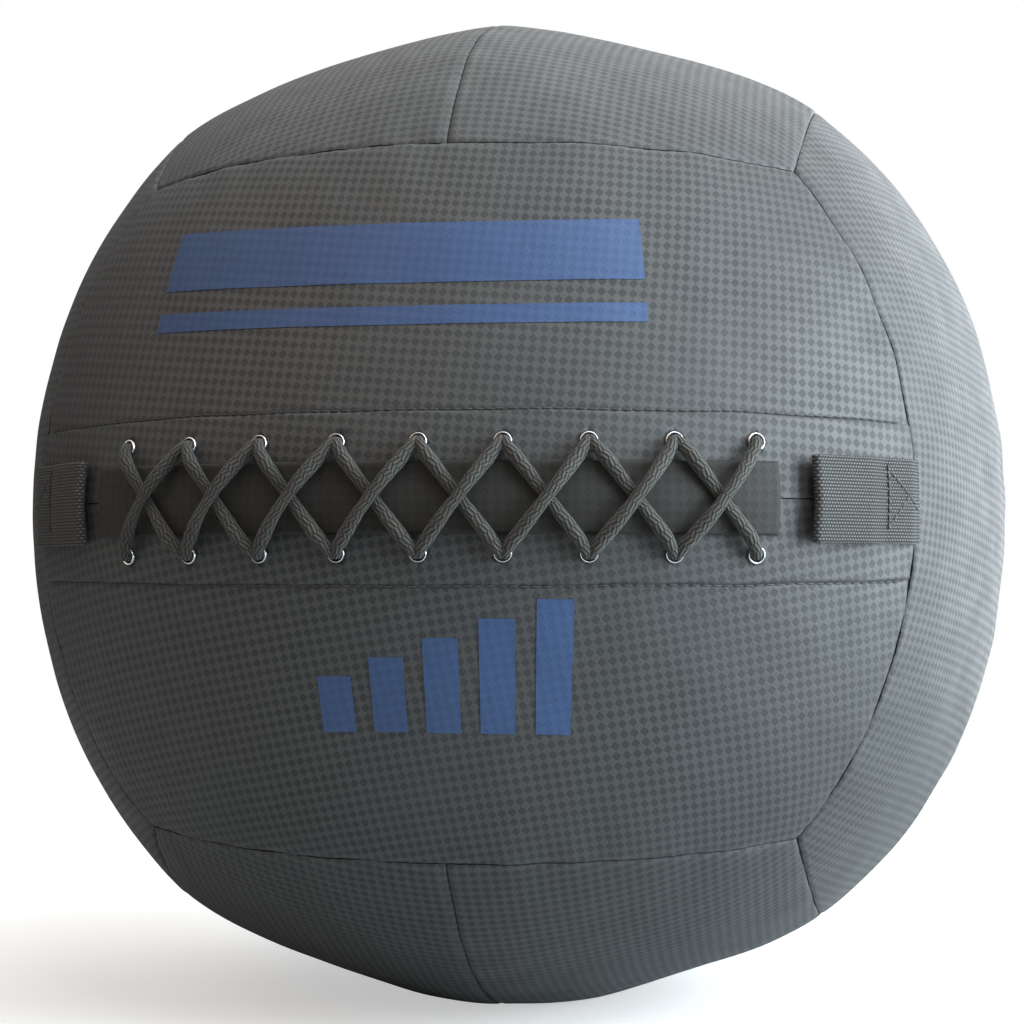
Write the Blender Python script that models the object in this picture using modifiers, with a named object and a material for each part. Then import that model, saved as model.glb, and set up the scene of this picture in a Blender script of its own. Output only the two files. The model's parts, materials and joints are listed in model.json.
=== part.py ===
"""Laced wall ball: a sewn twelve-panel cover, laced shut at the front, round a fibre fill and a weight bag.

Units are metres and +Z is up. The origin is on the floor under the ball's centre, the lacing faces -Y,
and the ball stands on a small flat that its own weight presses into the bottom panels.
"""

import math

import bmesh
import bpy
from mathutils import Matrix, Vector

# Cover
BALL_RADIUS = 0.175
PANEL_THICKNESS = 0.0025
PANEL_SINK = 0.0040
EDGE_SWELL_SHARE = 0.058
SEAM_ANGLE = math.radians(37.9)
CLEARANCE = 0.0003
REST_SAG = 0.0023
REST_SPREAD = 0.050
REST_SPREAD_POWER = 6

# Lines of the panel grid, from a panel's middle seam to its long seam
GRID_SHARES = (0.0, 0.125, 0.25, 0.40, 0.55, 0.70, 0.85, 1.0)
COARSE_SHARES = (*GRID_SHARES[::2], 1.0)

# Lacing
EYELETS_PER_ROW = 9
LACED_SLIT_SHARE = 0.631
EYELET_RISE = 0.0163
LACING_SHIFT = -0.0022
EYELET_HOLE_RADIUS = 0.0020
EYELET_WALL = 0.0003
EYELET_FLANGE_WIDTH = 0.0006
EYELET_RIM = 0.0008
WASHER_THICKNESS = 0.0007
EYELET_STEPS = 10
LACE_RADIUS = 0.0021
LACE_CROSSING_SHARE = 0.86
LACE_INNER_SHARE = 0.76
LACE_TURN_SHARE = 0.45
LACE_BEVEL_STEPS = 2
KNOT_HALF_LENGTH = 0.0060
KNOT_STEPS = 2

# Pieces round the slit
FACING_THICKNESS = 0.0015
FACING_WIDTH_SHARE = GRID_SHARES[2]
FACING_LENGTH_SHARE = GRID_SHARES[-2]
STRIP_THICKNESS = 0.0012
STRIP_MARGIN = 0.0027
STRIP_OVERHANG = 0.0090
FLAP_THICKNESS = 0.0012
FLAP_STEP_WIDTH = 0.0026
FLAP_SEAM_WIDTH = 0.0030
FLAP_OVERHANG = 0.0150

# The panels' flat facets lie up to this much under the true surface, so what is behind them is as much deeper
FACET_SAG = 0.0005

# Webbing tabs at the two ends of the slit
TAB_WIDTH = 0.0250
WEBBING_THICKNESS = 0.0014
WEBBING_FOLD_GAP = 0.0004
TAB_SEWN_LENGTH = 0.0165
TAB_TO_STRIP = 0.0085
FOLD_ARC_STEPS = 6

# Inside the cover
BAG_RADIUS = 0.0800
BAG_WALL = 0.0012
NECK_WAIST_RADIUS = 0.0110
NECK_MOUTH_RADIUS = 0.0170
NECK_LENGTH = 0.0360
TIE_RADIUS = 0.0018
NECK_ROOM = 0.0070
SAND_LEVEL_SHARE = 0.69
BAG_RINGS = 8
TURNED_STEPS = 16
TIE_SECTION_STEPS = 6

# Cutters run this far past what they cut, and points closer than the other distance are one
CUT_OVERRUN = 0.0030
MERGE_DISTANCE = 0.00001
SHARP_ANGLE = math.radians(40)

FINISHES = {
    "cover": ((0.030, 0.030, 0.033), 0.45, 0.0),
    "facing": ((0.035, 0.035, 0.038), 0.60, 0.0),
    "webbing": ((0.040, 0.040, 0.044), 0.80, 0.0),
    "eyelet": ((0.750, 0.750, 0.770), 0.25, 1.0),
    "lace": ((0.050, 0.050, 0.055), 0.85, 0.0),
    "fibre": ((0.450, 0.440, 0.420), 0.95, 0.0),
    "canvas": ((0.300, 0.270, 0.220), 0.90, 0.0),
    "iron_sand": ((0.100, 0.095, 0.095), 0.70, 0.3),
}

# Each panel's directions: out of its face, over to its long seam, and beside, along its middle seam
PANELS = {
    "front_upper_panel": ((0, -1, 0), (0, 0, 1), (1, 0, 0)),
    "front_lower_panel": ((0, -1, 0), (0, 0, -1), (1, 0, 0)),
    "rear_upper_panel": ((0, 1, 0), (0, 0, 1), (1, 0, 0)),
    "rear_lower_panel": ((0, 1, 0), (0, 0, -1), (1, 0, 0)),
    "top_left_panel": ((0, 0, 1), (-1, 0, 0), (0, 1, 0)),
    "top_right_panel": ((0, 0, 1), (1, 0, 0), (0, 1, 0)),
    "bottom_left_panel": ((0, 0, -1), (-1, 0, 0), (0, 1, 0)),
    "bottom_right_panel": ((0, 0, -1), (1, 0, 0), (0, 1, 0)),
    "right_front_panel": ((1, 0, 0), (0, -1, 0), (0, 0, 1)),
    "right_rear_panel": ((1, 0, 0), (0, 1, 0), (0, 0, 1)),
    "left_front_panel": ((-1, 0, 0), (0, -1, 0), (0, 0, 1)),
    "left_rear_panel": ((-1, 0, 0), (0, 1, 0), (0, 0, 1)),
}
UPPER = "front_upper_panel"
LOWER = "front_lower_panel"

# A long seam lies in a plane: over = SEAM_OFFSET + SEAM_SLOPE * out, through the face's two corners
CORNER = 1 / math.sqrt(3)
CORNER_LONGITUDE = math.pi / 4
MIDDLE_SEAM_REACH = math.pi / 2 - SEAM_ANGLE
SEAM_SLOPE = (math.sin(SEAM_ANGLE) - CORNER) / (math.cos(SEAM_ANGLE) - CORNER)
SEAM_OFFSET = CORNER * (1 - SEAM_SLOPE)

# Mean of x^4 + y^4 + z^4 over all directions, and its excess in the middle of a face
MEAN_FOURTH_POWER = 3 / 5
FACE_EXCESS = 1 - MEAN_FOURTH_POWER
REST_HEIGHT = BALL_RADIUS * (1 - EDGE_SWELL_SHARE * FACE_EXCESS) - REST_SAG

# The eyelets share out the laced stretch of the slit, which runs between the two side seams
SLIT_HALF_LENGTH = MIDDLE_SEAM_REACH * BALL_RADIUS
EYELET_PITCH = 2 * LACED_SLIT_SHARE * SLIT_HALF_LENGTH / (EYELETS_PER_ROW - 1)

# The eyelets' flanges, the strip between their rows, and the lace squeezed where it crosses or passes
EYELET_BARREL_RADIUS = EYELET_HOLE_RADIUS + EYELET_WALL
EYELET_FLANGE_RADIUS = EYELET_BARREL_RADIUS + EYELET_FLANGE_WIDTH
STRIP_HALF_WIDTH = EYELET_RISE - EYELET_FLANGE_RADIUS - STRIP_MARGIN
LACE_CROSSING_RADIUS = LACE_RADIUS * LACE_CROSSING_SHARE
LACE_INNER_RADIUS = LACE_RADIUS * LACE_INNER_SHARE
LACE_PINCHED_RADIUS = (EYELET_HOLE_RADIUS - 3 * CLEARANCE / 2) / 2
FILL_CHANNEL_RADIUS = NECK_MOUTH_RADIUS + NECK_ROOM
SAND_LEVEL = BAG_RADIUS * SAND_LEVEL_SHARE

# Depths below the cover's outside, and heights above it, of what is stacked at the slit
FILL_DEPTH = PANEL_THICKNESS + CLEARANCE
FACING_DEPTH = PANEL_THICKNESS + CLEARANCE
FACING_INNER_DEPTH = FACING_DEPTH + FACING_THICKNESS
WASHER_DEPTH = FACING_INNER_DEPTH + FACET_SAG + CLEARANCE
EYELET_DEPTH = WASHER_DEPTH + WASHER_THICKNESS
EYELET_TOP = CLEARANCE + EYELET_RIM
STRIP_TOP = CLEARANCE + STRIP_THICKNESS
NEAR_LACE_DEPTH = FACING_INNER_DEPTH + FACET_SAG + CLEARANCE + LACE_INNER_RADIUS
FAR_LACE_DEPTH = NEAR_LACE_DEPTH + 2 * LACE_INNER_RADIUS + CLEARANCE
FLAP_DEPTH = FAR_LACE_DEPTH + LACE_INNER_RADIUS + CLEARANCE
TAB_THICKNESS = 2 * WEBBING_THICKNESS + WEBBING_FOLD_GAP


def clear_scene():
    """Remove every object of the scene."""
    for item in list(bpy.data.objects):
        bpy.data.objects.remove(item, do_unlink=True)


def new_collection(name):
    """Make a collection in the scene."""
    collection = bpy.data.collections.new(name)
    bpy.context.scene.collection.children.link(collection)
    return collection


def new_material(name):
    """Make a Principled material from the table of finishes."""
    colour, roughness, metallic = FINISHES[name]
    material = bpy.data.materials.new(name)
    material.use_nodes = True
    shader = material.node_tree.nodes["Principled BSDF"]
    shader.inputs["Base Color"].default_value = (*colour, 1.0)
    shader.inputs["Roughness"].default_value = roughness
    shader.inputs["Metallic"].default_value = metallic
    return material


def mesh_object(name, bm, finish):
    """Turn a bmesh into a named part that hangs on the ball's centre."""
    bmesh.ops.recalc_face_normals(bm, faces=bm.faces)
    mesh = bpy.data.meshes.new(name)
    bm.to_mesh(mesh)
    bm.free()
    mesh.shade_smooth()
    mesh.set_sharp_from_angle(angle=SHARP_ANGLE)
    mesh.materials.append(MATERIALS[finish])
    part = bpy.data.objects.new(name, mesh)
    PARTS.objects.link(part)
    part.parent = CENTRE
    return part


def hide_as_cutter(cutter):
    """Mark an object as a cutter that only shows as wire."""
    cutter.hide_render = True
    cutter.display_type = "WIRE"


def cut(part, cutter):
    """Cut a closed cutter out of a part."""
    boolean = part.modifiers.new("cut_" + cutter.name, "BOOLEAN")
    boolean.operation = "DIFFERENCE"
    boolean.solver = "EXACT"
    boolean.object = cutter


def long_seam(longitude):
    """Direction (out, over, beside) on a face's long seam, at a longitude about the face's own length."""
    slope = SEAM_SLOPE * math.cos(longitude)
    latitude = math.atan(slope) + math.asin(SEAM_OFFSET / math.hypot(1, slope))
    level = math.cos(latitude)
    return Vector((level * math.cos(longitude), math.sin(latitude), level * math.sin(longitude)))


def panel_direction(along, across):
    """Unit direction on a panel, as (out, over, beside).

    along runs from -1 to 1 between the panel's ends, across from 0 on the middle seam to 1 on the long
    seam. The four seams are blended into one patch.
    """
    middle = Vector((math.cos(along * MIDDLE_SEAM_REACH), 0, math.sin(along * MIDDLE_SEAM_REACH)))
    outer = long_seam(along * CORNER_LONGITUDE)
    out, over, beside = long_seam(across * CORNER_LONGITUDE)
    far_end = Vector((over, beside, out))
    near_end = Vector((over, beside, -out))
    middle_end = Vector((math.sin(SEAM_ANGLE), 0, math.cos(SEAM_ANGLE)))
    share = (along + 1) / 2
    ends = near_end * (1 - share) + far_end * share
    sides = middle * (1 - across) + outer * across
    middle_corners = Vector((middle_end.x, 0, middle_end.z * along))
    outer_corners = Vector((CORNER, CORNER, CORNER * along))
    return (ends + sides - middle_corners * (1 - across) - outer_corners * across).normalized()


def seam_margins(out, over, beside):
    """How far a direction lies inside a face's long seams, and inside the seams at its ends."""
    return SEAM_OFFSET + SEAM_SLOPE * out - over, out - SEAM_SLOPE * beside - SEAM_OFFSET


def cover_radius(direction):
    """Distance from the centre to the cover's outside: fuller towards the seams, sunk inside each panel."""
    sizes = [abs(value) for value in direction]
    turns = [(sizes[axis], sizes[(axis + 1) % 3], sizes[(axis + 2) % 3]) for axis in range(3)]
    out, over, beside = max(turns, key=lambda turn: min(seam_margins(*turn)))
    across = min(over / (SEAM_OFFSET + SEAM_SLOPE * out), 1)
    inside = max(seam_margins(out, over, beside)[1], 0) / (1 - SEAM_OFFSET)
    hollow = 2 * across * (1 - across) + math.sin(math.pi * across) ** 2 / 2
    sunk = hollow * inside * (2 - inside)
    if direction.z < 0:
        from_rest = BALL_RADIUS * math.hypot(direction.x, direction.y) / REST_SPREAD
        sunk *= 1 - 1 / (1 + from_rest ** REST_SPREAD_POWER)
    excess = sum(size ** 4 for size in sizes) - MEAN_FOURTH_POWER
    return BALL_RADIUS * (1 - EDGE_SWELL_SHARE * excess) - PANEL_SINK * sunk


def cover_point(direction, depth=0.0):
    """Point at a depth below the cover, pressed flat where the ball rests on the floor."""
    point = direction * (cover_radius(direction) - depth)
    point.z = max(point.z, depth - REST_HEIGHT)
    return point


def panel_point(panel, along, across, depth=0.0):
    """Point of a named panel at a depth below the cover's outside."""
    out, over, beside = (Vector(axis) for axis in PANELS[panel])
    place = panel_direction(along, across)
    return cover_point(out * place.x + over * place.y + beside * place.z, depth)


def slit_direction(arc, rise):
    """Direction of a place by its arc to the right of the slit's middle and its rise above the slit."""
    azimuth = arc / BALL_RADIUS
    elevation = rise / BALL_RADIUS
    level = math.cos(elevation)
    return Vector((level * math.sin(azimuth), -level * math.cos(azimuth), math.sin(elevation)))


def slit_point(arc, rise, height=0.0):
    """Point near the slit, at a height above the cover's outside."""
    return cover_point(slit_direction(arc, rise), -height)


def slit_frame(arc, rise):
    """Matrix of a place near the slit: X along the slit, Y up across it, Z out of the cover."""
    step = CLEARANCE
    x_axis = (slit_point(arc + step, rise) - slit_point(arc - step, rise)).normalized()
    y_axis = (slit_point(arc, rise + step) - slit_point(arc, rise - step)).normalized()
    z_axis = x_axis.cross(y_axis).normalized()
    y_axis = z_axis.cross(x_axis)
    frame = Matrix((x_axis, y_axis, z_axis)).transposed().to_4x4()
    frame.translation = slit_point(arc, rise)
    return frame


def slit_ridge():
    """How far the slit stands above the rows of eyelets, at its middle."""
    return cover_radius(slit_direction(0, 0)) - cover_radius(slit_direction(0, EYELET_RISE))


def stations(low, high, shares):
    """Arcs from low to high that keep every line of the panel grid between them."""
    lines = [sign * share * SLIT_HALF_LENGTH for share in shares for sign in (-1, 1)]
    inner = sorted({line for line in lines if low + CLEARANCE < line < high - CLEARANCE})
    return [low, *inner, high]


def both_ways(values):
    """Mirror a rising list that starts at zero."""
    return [-value for value in reversed(values[1:])] + list(values)


def grid_index(place, lines):
    """Number of the line at a place on a grid that spans -1 to 1."""
    return round((place + 1) / 2 * (len(lines) - 1))


def laid_shell(name, columns, rows, outside, inside, finish):
    """Closed sheet between two surfaces, each a function of a column's and a row's value."""
    bm = bmesh.new()
    column_layer = bm.verts.layers.int.new("column")
    row_layer = bm.verts.layers.int.new("row")
    bmesh.ops.create_grid(bm, x_segments=len(columns) - 1, y_segments=len(rows) - 1, size=1)
    for vertex in bm.verts:
        vertex[column_layer] = grid_index(vertex.co.x, columns)
        vertex[row_layer] = grid_index(vertex.co.y, rows)
        vertex.co = outside(columns[vertex[column_layer]], rows[vertex[row_layer]])
    grown = bmesh.ops.extrude_face_region(bm, geom=bm.faces[:])
    for vertex in grown["geom"]:
        if isinstance(vertex, bmesh.types.BMVert):
            vertex.co = inside(columns[vertex[column_layer]], rows[vertex[row_layer]])
    return mesh_object(name, bm, finish)


def in_panel(share, low, high):
    """Move a grid share at a panel's border inwards by half the seam's clearance."""
    border = CLEARANCE / 2 / (BALL_RADIUS * SEAM_ANGLE)
    return min(max(share, low + border), high - border)


def build_panel(name):
    """One cover panel, with half a clearance left along each of its seams."""

    def surface(depth):
        return lambda along, across: panel_point(name, in_panel(along, -1, 1), in_panel(across, 0, 1), depth)

    columns = both_ways(GRID_SHARES)
    return laid_shell(name, columns, GRID_SHARES, surface(0), surface(PANEL_THICKNESS), "cover")


def build_facing(name, panel):
    """Strip sewn inside a front panel's edge to carry its eyelets, on the panel's own grid lines."""
    columns = [share for share in both_ways(GRID_SHARES) if abs(share) <= FACING_LENGTH_SHARE]
    rows = [share for share in GRID_SHARES if share <= FACING_WIDTH_SHARE]

    def surface(depth):
        return lambda along, across: panel_point(panel, along, in_panel(across, 0, 1), depth)

    return laid_shell(name, columns, rows, surface(FACING_DEPTH), surface(FACING_INNER_DEPTH), "facing")


def eyelet_arcs():
    """Arcs of the eyelets in a row, from left to right."""
    middle = (EYELETS_PER_ROW - 1) / 2
    return [LACING_SHIFT + (index - middle) * EYELET_PITCH for index in range(EYELETS_PER_ROW)]


def strip_ends():
    """Arcs of the cover strip's left and right ends."""
    arcs = eyelet_arcs()
    return arcs[0] - STRIP_OVERHANG, arcs[-1] + STRIP_OVERHANG


def build_cover_strip():
    """Smooth strip laid over the closed slit, under the lace."""
    columns = stations(*strip_ends(), GRID_SHARES)
    rows = [-STRIP_HALF_WIDTH, 0, STRIP_HALF_WIDTH]

    def surface(height):
        return lambda arc, rise: slit_point(arc, rise, height)

    return laid_shell("cover_strip", columns, rows, surface(STRIP_TOP), surface(CLEARANCE), "facing")


def build_inner_flap():
    """Flap behind the lace that keeps the fill in, sewn to both panels past their facings."""
    arcs = eyelet_arcs()
    columns = stations(arcs[0] - FLAP_OVERHANG, arcs[-1] + FLAP_OVERHANG, COARSE_SHARES)
    facing_edge = FACING_WIDTH_SHARE * SEAM_ANGLE * BALL_RADIUS
    sewn_edge = facing_edge + FLAP_STEP_WIDTH
    depths = {
        0: FLAP_DEPTH + slit_ridge(),
        EYELET_RISE: FLAP_DEPTH,
        facing_edge: FACING_INNER_DEPTH + FLAP_THICKNESS,
        sewn_edge: FACING_DEPTH + FACET_SAG,
        sewn_edge + FLAP_SEAM_WIDTH: FACING_DEPTH + FACET_SAG,
    }

    def surface(below):
        return lambda arc, rise: slit_point(arc, rise, -depths[abs(rise)] - below)

    rows = both_ways(list(depths))
    return laid_shell("inner_flap", columns, rows, surface(0), surface(FLAP_THICKNESS), "facing")


def turned(name, profile, finish, frame, steps):
    """Part turned about the frame's Z axis from a closed profile of (radius, height) points.

    The profile runs down its outer side, from top to bottom.
    """
    mesh = bpy.data.meshes.new(name)
    bm = bmesh.new()
    corners = [bm.verts.new((radius, 0, height)) for radius, height in profile]
    for start, end in zip(corners, corners[1:] + corners[:1]):
        if start.co.x > 0 or end.co.x > 0:
            bm.edges.new((start, end))
    bm.to_mesh(mesh)
    bm.free()
    mesh.materials.append(MATERIALS[finish])
    part = bpy.data.objects.new(name, mesh)
    part.parent = CENTRE
    part.matrix_local = frame
    screw = part.modifiers.new("turn", "SCREW")
    screw.axis = "Z"
    screw.steps = steps
    screw.render_steps = steps
    screw.use_merge_vertices = True
    screw.merge_threshold = MERGE_DISTANCE
    screw.use_smooth_shade = True
    return part


def build_eyelet(name, arc, rise):
    """Eyelet with a domed flange outside and its clinched washer inside, round one barrel."""
    crest = (EYELET_BARREL_RADIUS + EYELET_FLANGE_RADIUS) / 2
    profile = [
        (crest, EYELET_TOP),
        (EYELET_FLANGE_RADIUS, CLEARANCE),
        (EYELET_BARREL_RADIUS, CLEARANCE),
        (EYELET_BARREL_RADIUS, -WASHER_DEPTH),
        (EYELET_FLANGE_RADIUS, -WASHER_DEPTH),
        (EYELET_FLANGE_RADIUS, -EYELET_DEPTH),
        (EYELET_HOLE_RADIUS, -EYELET_DEPTH),
        (EYELET_HOLE_RADIUS, CLEARANCE),
    ]
    eyelet = turned(name, profile, "eyelet", slit_frame(arc, rise), EYELET_STEPS)
    PARTS.objects.link(eyelet)
    return eyelet


def build_eyelet_cutter(name, rise):
    """One cylinder through the panel and its facing for each eyelet of a row."""
    bm = bmesh.new()
    radius = EYELET_BARREL_RADIUS + CLEARANCE
    depth = EYELET_DEPTH + 2 * CUT_OVERRUN
    for arc in eyelet_arcs():
        middle = Matrix.Translation((0, 0, -EYELET_DEPTH / 2))
        bmesh.ops.create_cone(bm, cap_ends=True, segments=EYELET_STEPS, radius1=radius, radius2=radius,
                              depth=depth, matrix=slit_frame(arc, rise) @ middle)
    mesh = bpy.data.meshes.new(name)
    bm.to_mesh(mesh)
    bm.free()
    cutter = bpy.data.objects.new(name, mesh)
    CUTTERS.objects.link(cutter)
    cutter.parent = CENTRE
    hide_as_cutter(cutter)
    return cutter


def lace_leg(arc, rise, target_arc, target_rise, side):
    """Points where the lace leaves an eyelet outside, with their radii, from the hole outwards."""
    frame = slit_frame(arc, rise)
    aside = side * (LACE_PINCHED_RADIUS + CLEARANCE / 2)
    run = Vector((target_arc - arc, target_rise - rise)).normalized() * LACE_RADIUS
    over_rim = EYELET_TOP + CLEARANCE + LACE_RADIUS
    strip_edge = math.copysign(STRIP_HALF_WIDTH, rise)
    share = (rise - strip_edge) / (rise - target_rise)
    edge_arc = arc + share * (target_arc - arc) + aside * (1 - share)
    return [
        (frame @ Vector((aside, 0, EYELET_TOP + CLEARANCE)), LACE_PINCHED_RADIUS),
        (frame @ Vector((aside + run.x, run.y, over_rim)), LACE_CROSSING_RADIUS),
        (slit_point(edge_arc, strip_edge, STRIP_TOP + CLEARANCE + LACE_RADIUS), LACE_RADIUS),
    ]


def outer_run(start, end, over):
    """Points of one slanting run over the slit, from (arc, rise, side) to (arc, rise, side)."""
    near = lace_leg(*start[:2], *end[:2], start[2])
    far = lace_leg(*end[:2], *start[:2], end[2])
    height = STRIP_TOP + CLEARANCE + LACE_CROSSING_RADIUS
    if over:
        height += 2 * (LACE_CROSSING_RADIUS + CLEARANCE)
    crossing = slit_point((start[0] + end[0]) / 2, (start[1] + end[1]) / 2, height)
    return near + [(crossing, LACE_CROSSING_RADIUS)] + far[::-1]


def inner_leg(arc, rise, side):
    """Points where the lace leaves an eyelet inside and turns to the other row, from the hole onwards."""
    frame = slit_frame(arc, rise)
    aside = side * (LACE_PINCHED_RADIUS + CLEARANCE / 2)
    spread = side * (LACE_RADIUS + CLEARANCE)
    towards = math.copysign(LACE_RADIUS, -rise)
    return [
        (frame @ Vector((aside, 0, -EYELET_DEPTH - CLEARANCE)), LACE_PINCHED_RADIUS),
        (frame @ Vector((spread, towards, -EYELET_DEPTH - CLEARANCE - LACE_RADIUS)), LACE_CROSSING_RADIUS),
    ]


def inner_run(arc, start_rise, sides, depth):
    """Points of one upright run behind the slit, which changes sides at a depth of its own."""
    start_side, end_side = sides
    near = inner_leg(arc, start_rise, start_side)
    far = inner_leg(arc, -start_rise, end_side)
    turn = start_rise * LACE_TURN_SHARE
    spread = LACE_RADIUS + CLEARANCE
    middle = [
        (slit_point(arc + start_side * spread, turn, -depth), LACE_INNER_RADIUS),
        (slit_point(arc + end_side * spread, -turn, -depth), LACE_INNER_RADIUS),
    ]
    return near + middle + far[::-1]


def end_run(arc, rise, side):
    """Points from an end eyelet to the knot behind the slit."""
    near = inner_leg(arc, rise, side)
    stop = math.copysign(KNOT_HALF_LENGTH + CLEARANCE, rise)
    spread = side * (LACE_RADIUS + CLEARANCE)
    return near + [(slit_point(arc + spread, stop, -knot_depth()), LACE_INNER_RADIUS)]


def knot_depth():
    """Depth of the knot's middle, between the facings and the flap."""
    return (FACING_INNER_DEPTH + 2 * FACET_SAG + FLAP_DEPTH) / 2


def lace_series(first_rise, depth, over):
    """Points of one half of the lace, from its first eyelet on the left to its last on the right.

    The half runs slanting over the slit from one row to the other, then upright behind the slit back to
    the first row. It leaves each eyelet on the right of the hole and enters the next on the left.
    """
    arcs = eyelet_arcs()
    points = []
    for arc, next_arc in zip(arcs, arcs[1:]):
        points += outer_run((arc, first_rise, 1), (next_arc, -first_rise, -1), over)
        if next_arc < arcs[-1]:
            points += inner_run(next_arc, -first_rise, (-1, 1), depth)
    return points + end_run(arcs[-1], -first_rise, -1)


def build_lace():
    """One lace: a falling half, a rising half that lies over it, and the turn that joins them on the left."""
    falling = lace_series(EYELET_RISE, NEAR_LACE_DEPTH, over=False)
    rising = lace_series(-EYELET_RISE, FAR_LACE_DEPTH, over=True)
    first_arc = eyelet_arcs()[0]
    turn = inner_leg(first_arc, -EYELET_RISE, 1) + inner_leg(first_arc, EYELET_RISE, 1)[::-1]
    route = rising[::-1] + turn + falling
    curve = bpy.data.curves.new("lace", "CURVE")
    curve.dimensions = "3D"
    curve.bevel_depth = LACE_RADIUS
    curve.bevel_resolution = LACE_BEVEL_STEPS
    curve.use_fill_caps = True
    spline = curve.splines.new("POLY")
    spline.points.add(len(route) - 1)
    for point, (place, radius) in zip(spline.points, route):
        point.co = (*place, 1)
        point.radius = radius / LACE_RADIUS
    curve.materials.append(MATERIALS["lace"])
    lace = bpy.data.objects.new("lace", curve)
    PARTS.objects.link(lace)
    lace.parent = CENTRE
    return lace


def build_knot():
    """Knot that ties the two ends of the lace behind the last eyelets."""
    arc = eyelet_arcs()[-1] - LACE_RADIUS - CLEARANCE
    thickness = 2 * (FLAP_DEPTH - CLEARANCE - knot_depth())
    frame = slit_frame(arc, 0)
    frame.translation = slit_point(arc, 0, -knot_depth())
    size = Matrix.Diagonal((KNOT_HALF_LENGTH, KNOT_HALF_LENGTH, thickness / 2, 1))
    bm = bmesh.new()
    bmesh.ops.create_icosphere(bm, subdivisions=KNOT_STEPS, radius=1, matrix=frame @ size)
    return mesh_object("lace_knot", bm, "lace")


def tab_hinge_arc():
    """Arc of the stitch line about which a tab's free end bends."""
    return SLIT_HALF_LENGTH - TAB_SEWN_LENGTH


def build_tab_base(name, sign):
    """Sewn end of a folded webbing tab, from its stitch line to the side seam."""
    low = tab_hinge_arc() + CLEARANCE / 2
    high = SLIT_HALF_LENGTH - CLEARANCE
    columns = [sign * arc for arc in stations(low, high, GRID_SHARES)]
    rows = [-TAB_WIDTH / 2, 0, TAB_WIDTH / 2]

    def surface(height):
        return lambda arc, rise: slit_point(arc, rise, height)

    return laid_shell(name, columns, rows, surface(CLEARANCE + TAB_THICKNESS), surface(CLEARANCE), "webbing")


def tab_outline(length):
    """Edge of a folded webbing tab: a hairpin as long as the tab, with its outer side on the X axis."""
    outer = TAB_THICKNESS / 2
    inner = WEBBING_FOLD_GAP / 2
    bend = length - outer
    start = CLEARANCE / 2
    outline = [(start, -outer - inner), (start, -2 * outer)]
    for radius, order in ((outer, range(FOLD_ARC_STEPS + 1)), (inner, range(FOLD_ARC_STEPS, -1, -1))):
        for step in order:
            angle = math.pi * step / FOLD_ARC_STEPS - math.pi / 2
            outline.append((bend + radius * math.cos(angle), radius * math.sin(angle) - outer))
        if radius == outer:
            outline += [(start, 0), (start, inner - outer)]
    return outline


def build_tab_loop(name, sign):
    """Free, folded end of a webbing tab, straight from its stitch line and open at the fold's inside.

    Its origin is on the joint's axis, the tab's upper edge at the stitch line. X runs to the free end,
    Y runs out of the ball and Z across the webbing.
    """
    strip_end = max(sign * end for end in strip_ends())
    outline = tab_outline(tab_hinge_arc() - strip_end - TAB_TO_STRIP)
    curve = bpy.data.curves.new(name, "CURVE")
    curve.dimensions = "2D"
    curve.fill_mode = "BOTH"
    curve.extrude = TAB_WIDTH / 2
    spline = curve.splines.new("POLY")
    spline.use_cyclic_u = True
    spline.points.add(len(outline) - 1)
    for point, (x, y) in zip(spline.points, outline):
        point.co = (x, y, 0, 1)
    curve.materials.append(MATERIALS["webbing"])
    frame = slit_frame(sign * tab_hinge_arc(), 0)
    outward = frame.col[2].xyz
    hinge = bpy.data.objects.new(name + "_hinge", None)
    PARTS.objects.link(hinge)
    hinge.parent = CENTRE
    along = -sign * frame.col[0].xyz
    turn = Matrix((along, outward, along.cross(outward))).transposed()
    hinge_place = frame.translation + outward * (CLEARANCE + TAB_THICKNESS)
    hinge.matrix_local = Matrix.Translation(hinge_place) @ turn.to_4x4()
    loop = bpy.data.objects.new(name, curve)
    PARTS.objects.link(loop)
    loop.parent = hinge
    return loop


def core_frame():
    """Frame of the core, with its Z axis towards the slit."""
    return Matrix.Rotation(math.pi / 2, 4, "X")


def bag_outline(offset):
    """Outer side of the weight bag at an offset, from its gathered mouth round to the far pole."""
    radius = BAG_RADIUS + offset
    waist = NECK_WAIST_RADIUS + offset
    shoulder = math.asin(NECK_MOUTH_RADIUS / BAG_RADIUS)
    round_part = []
    for ring in range(BAG_RINGS + 1):
        angle = shoulder + (math.pi - shoulder) * ring / BAG_RINGS
        round_part.append((radius * math.sin(angle), radius * math.cos(angle)))
    round_part[-1] = (0, -radius)
    neck = [
        (NECK_MOUTH_RADIUS + offset, BAG_RADIUS + NECK_LENGTH),
        (waist, BAG_RADIUS + NECK_LENGTH / 2),
    ]
    return neck + round_part


def build_weight_bag():
    """Cloth bag at the core, gathered into a neck that points to the slit, open inside its neck."""
    profile = bag_outline(0) + bag_outline(-BAG_WALL)[::-1]
    bag = turned("weight_bag", profile, "canvas", core_frame(), TURNED_STEPS)
    PARTS.objects.link(bag)
    return bag


def build_iron_sand():
    """The bag's contents, one body with a level top under the neck."""
    inside = bag_outline(-BAG_WALL - CLEARANCE)[2:]
    below = [point for point in inside if point[1] < SAND_LEVEL]
    upper = [point for point in inside if point[1] >= SAND_LEVEL][-1]
    share = (SAND_LEVEL - below[0][1]) / (upper[1] - below[0][1])
    rim = (below[0][0] + share * (upper[0] - below[0][0]), SAND_LEVEL)
    sand = turned("iron_sand", [(0, SAND_LEVEL), rim, *below], "iron_sand", core_frame(), TURNED_STEPS)
    PARTS.objects.link(sand)
    return sand


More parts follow.
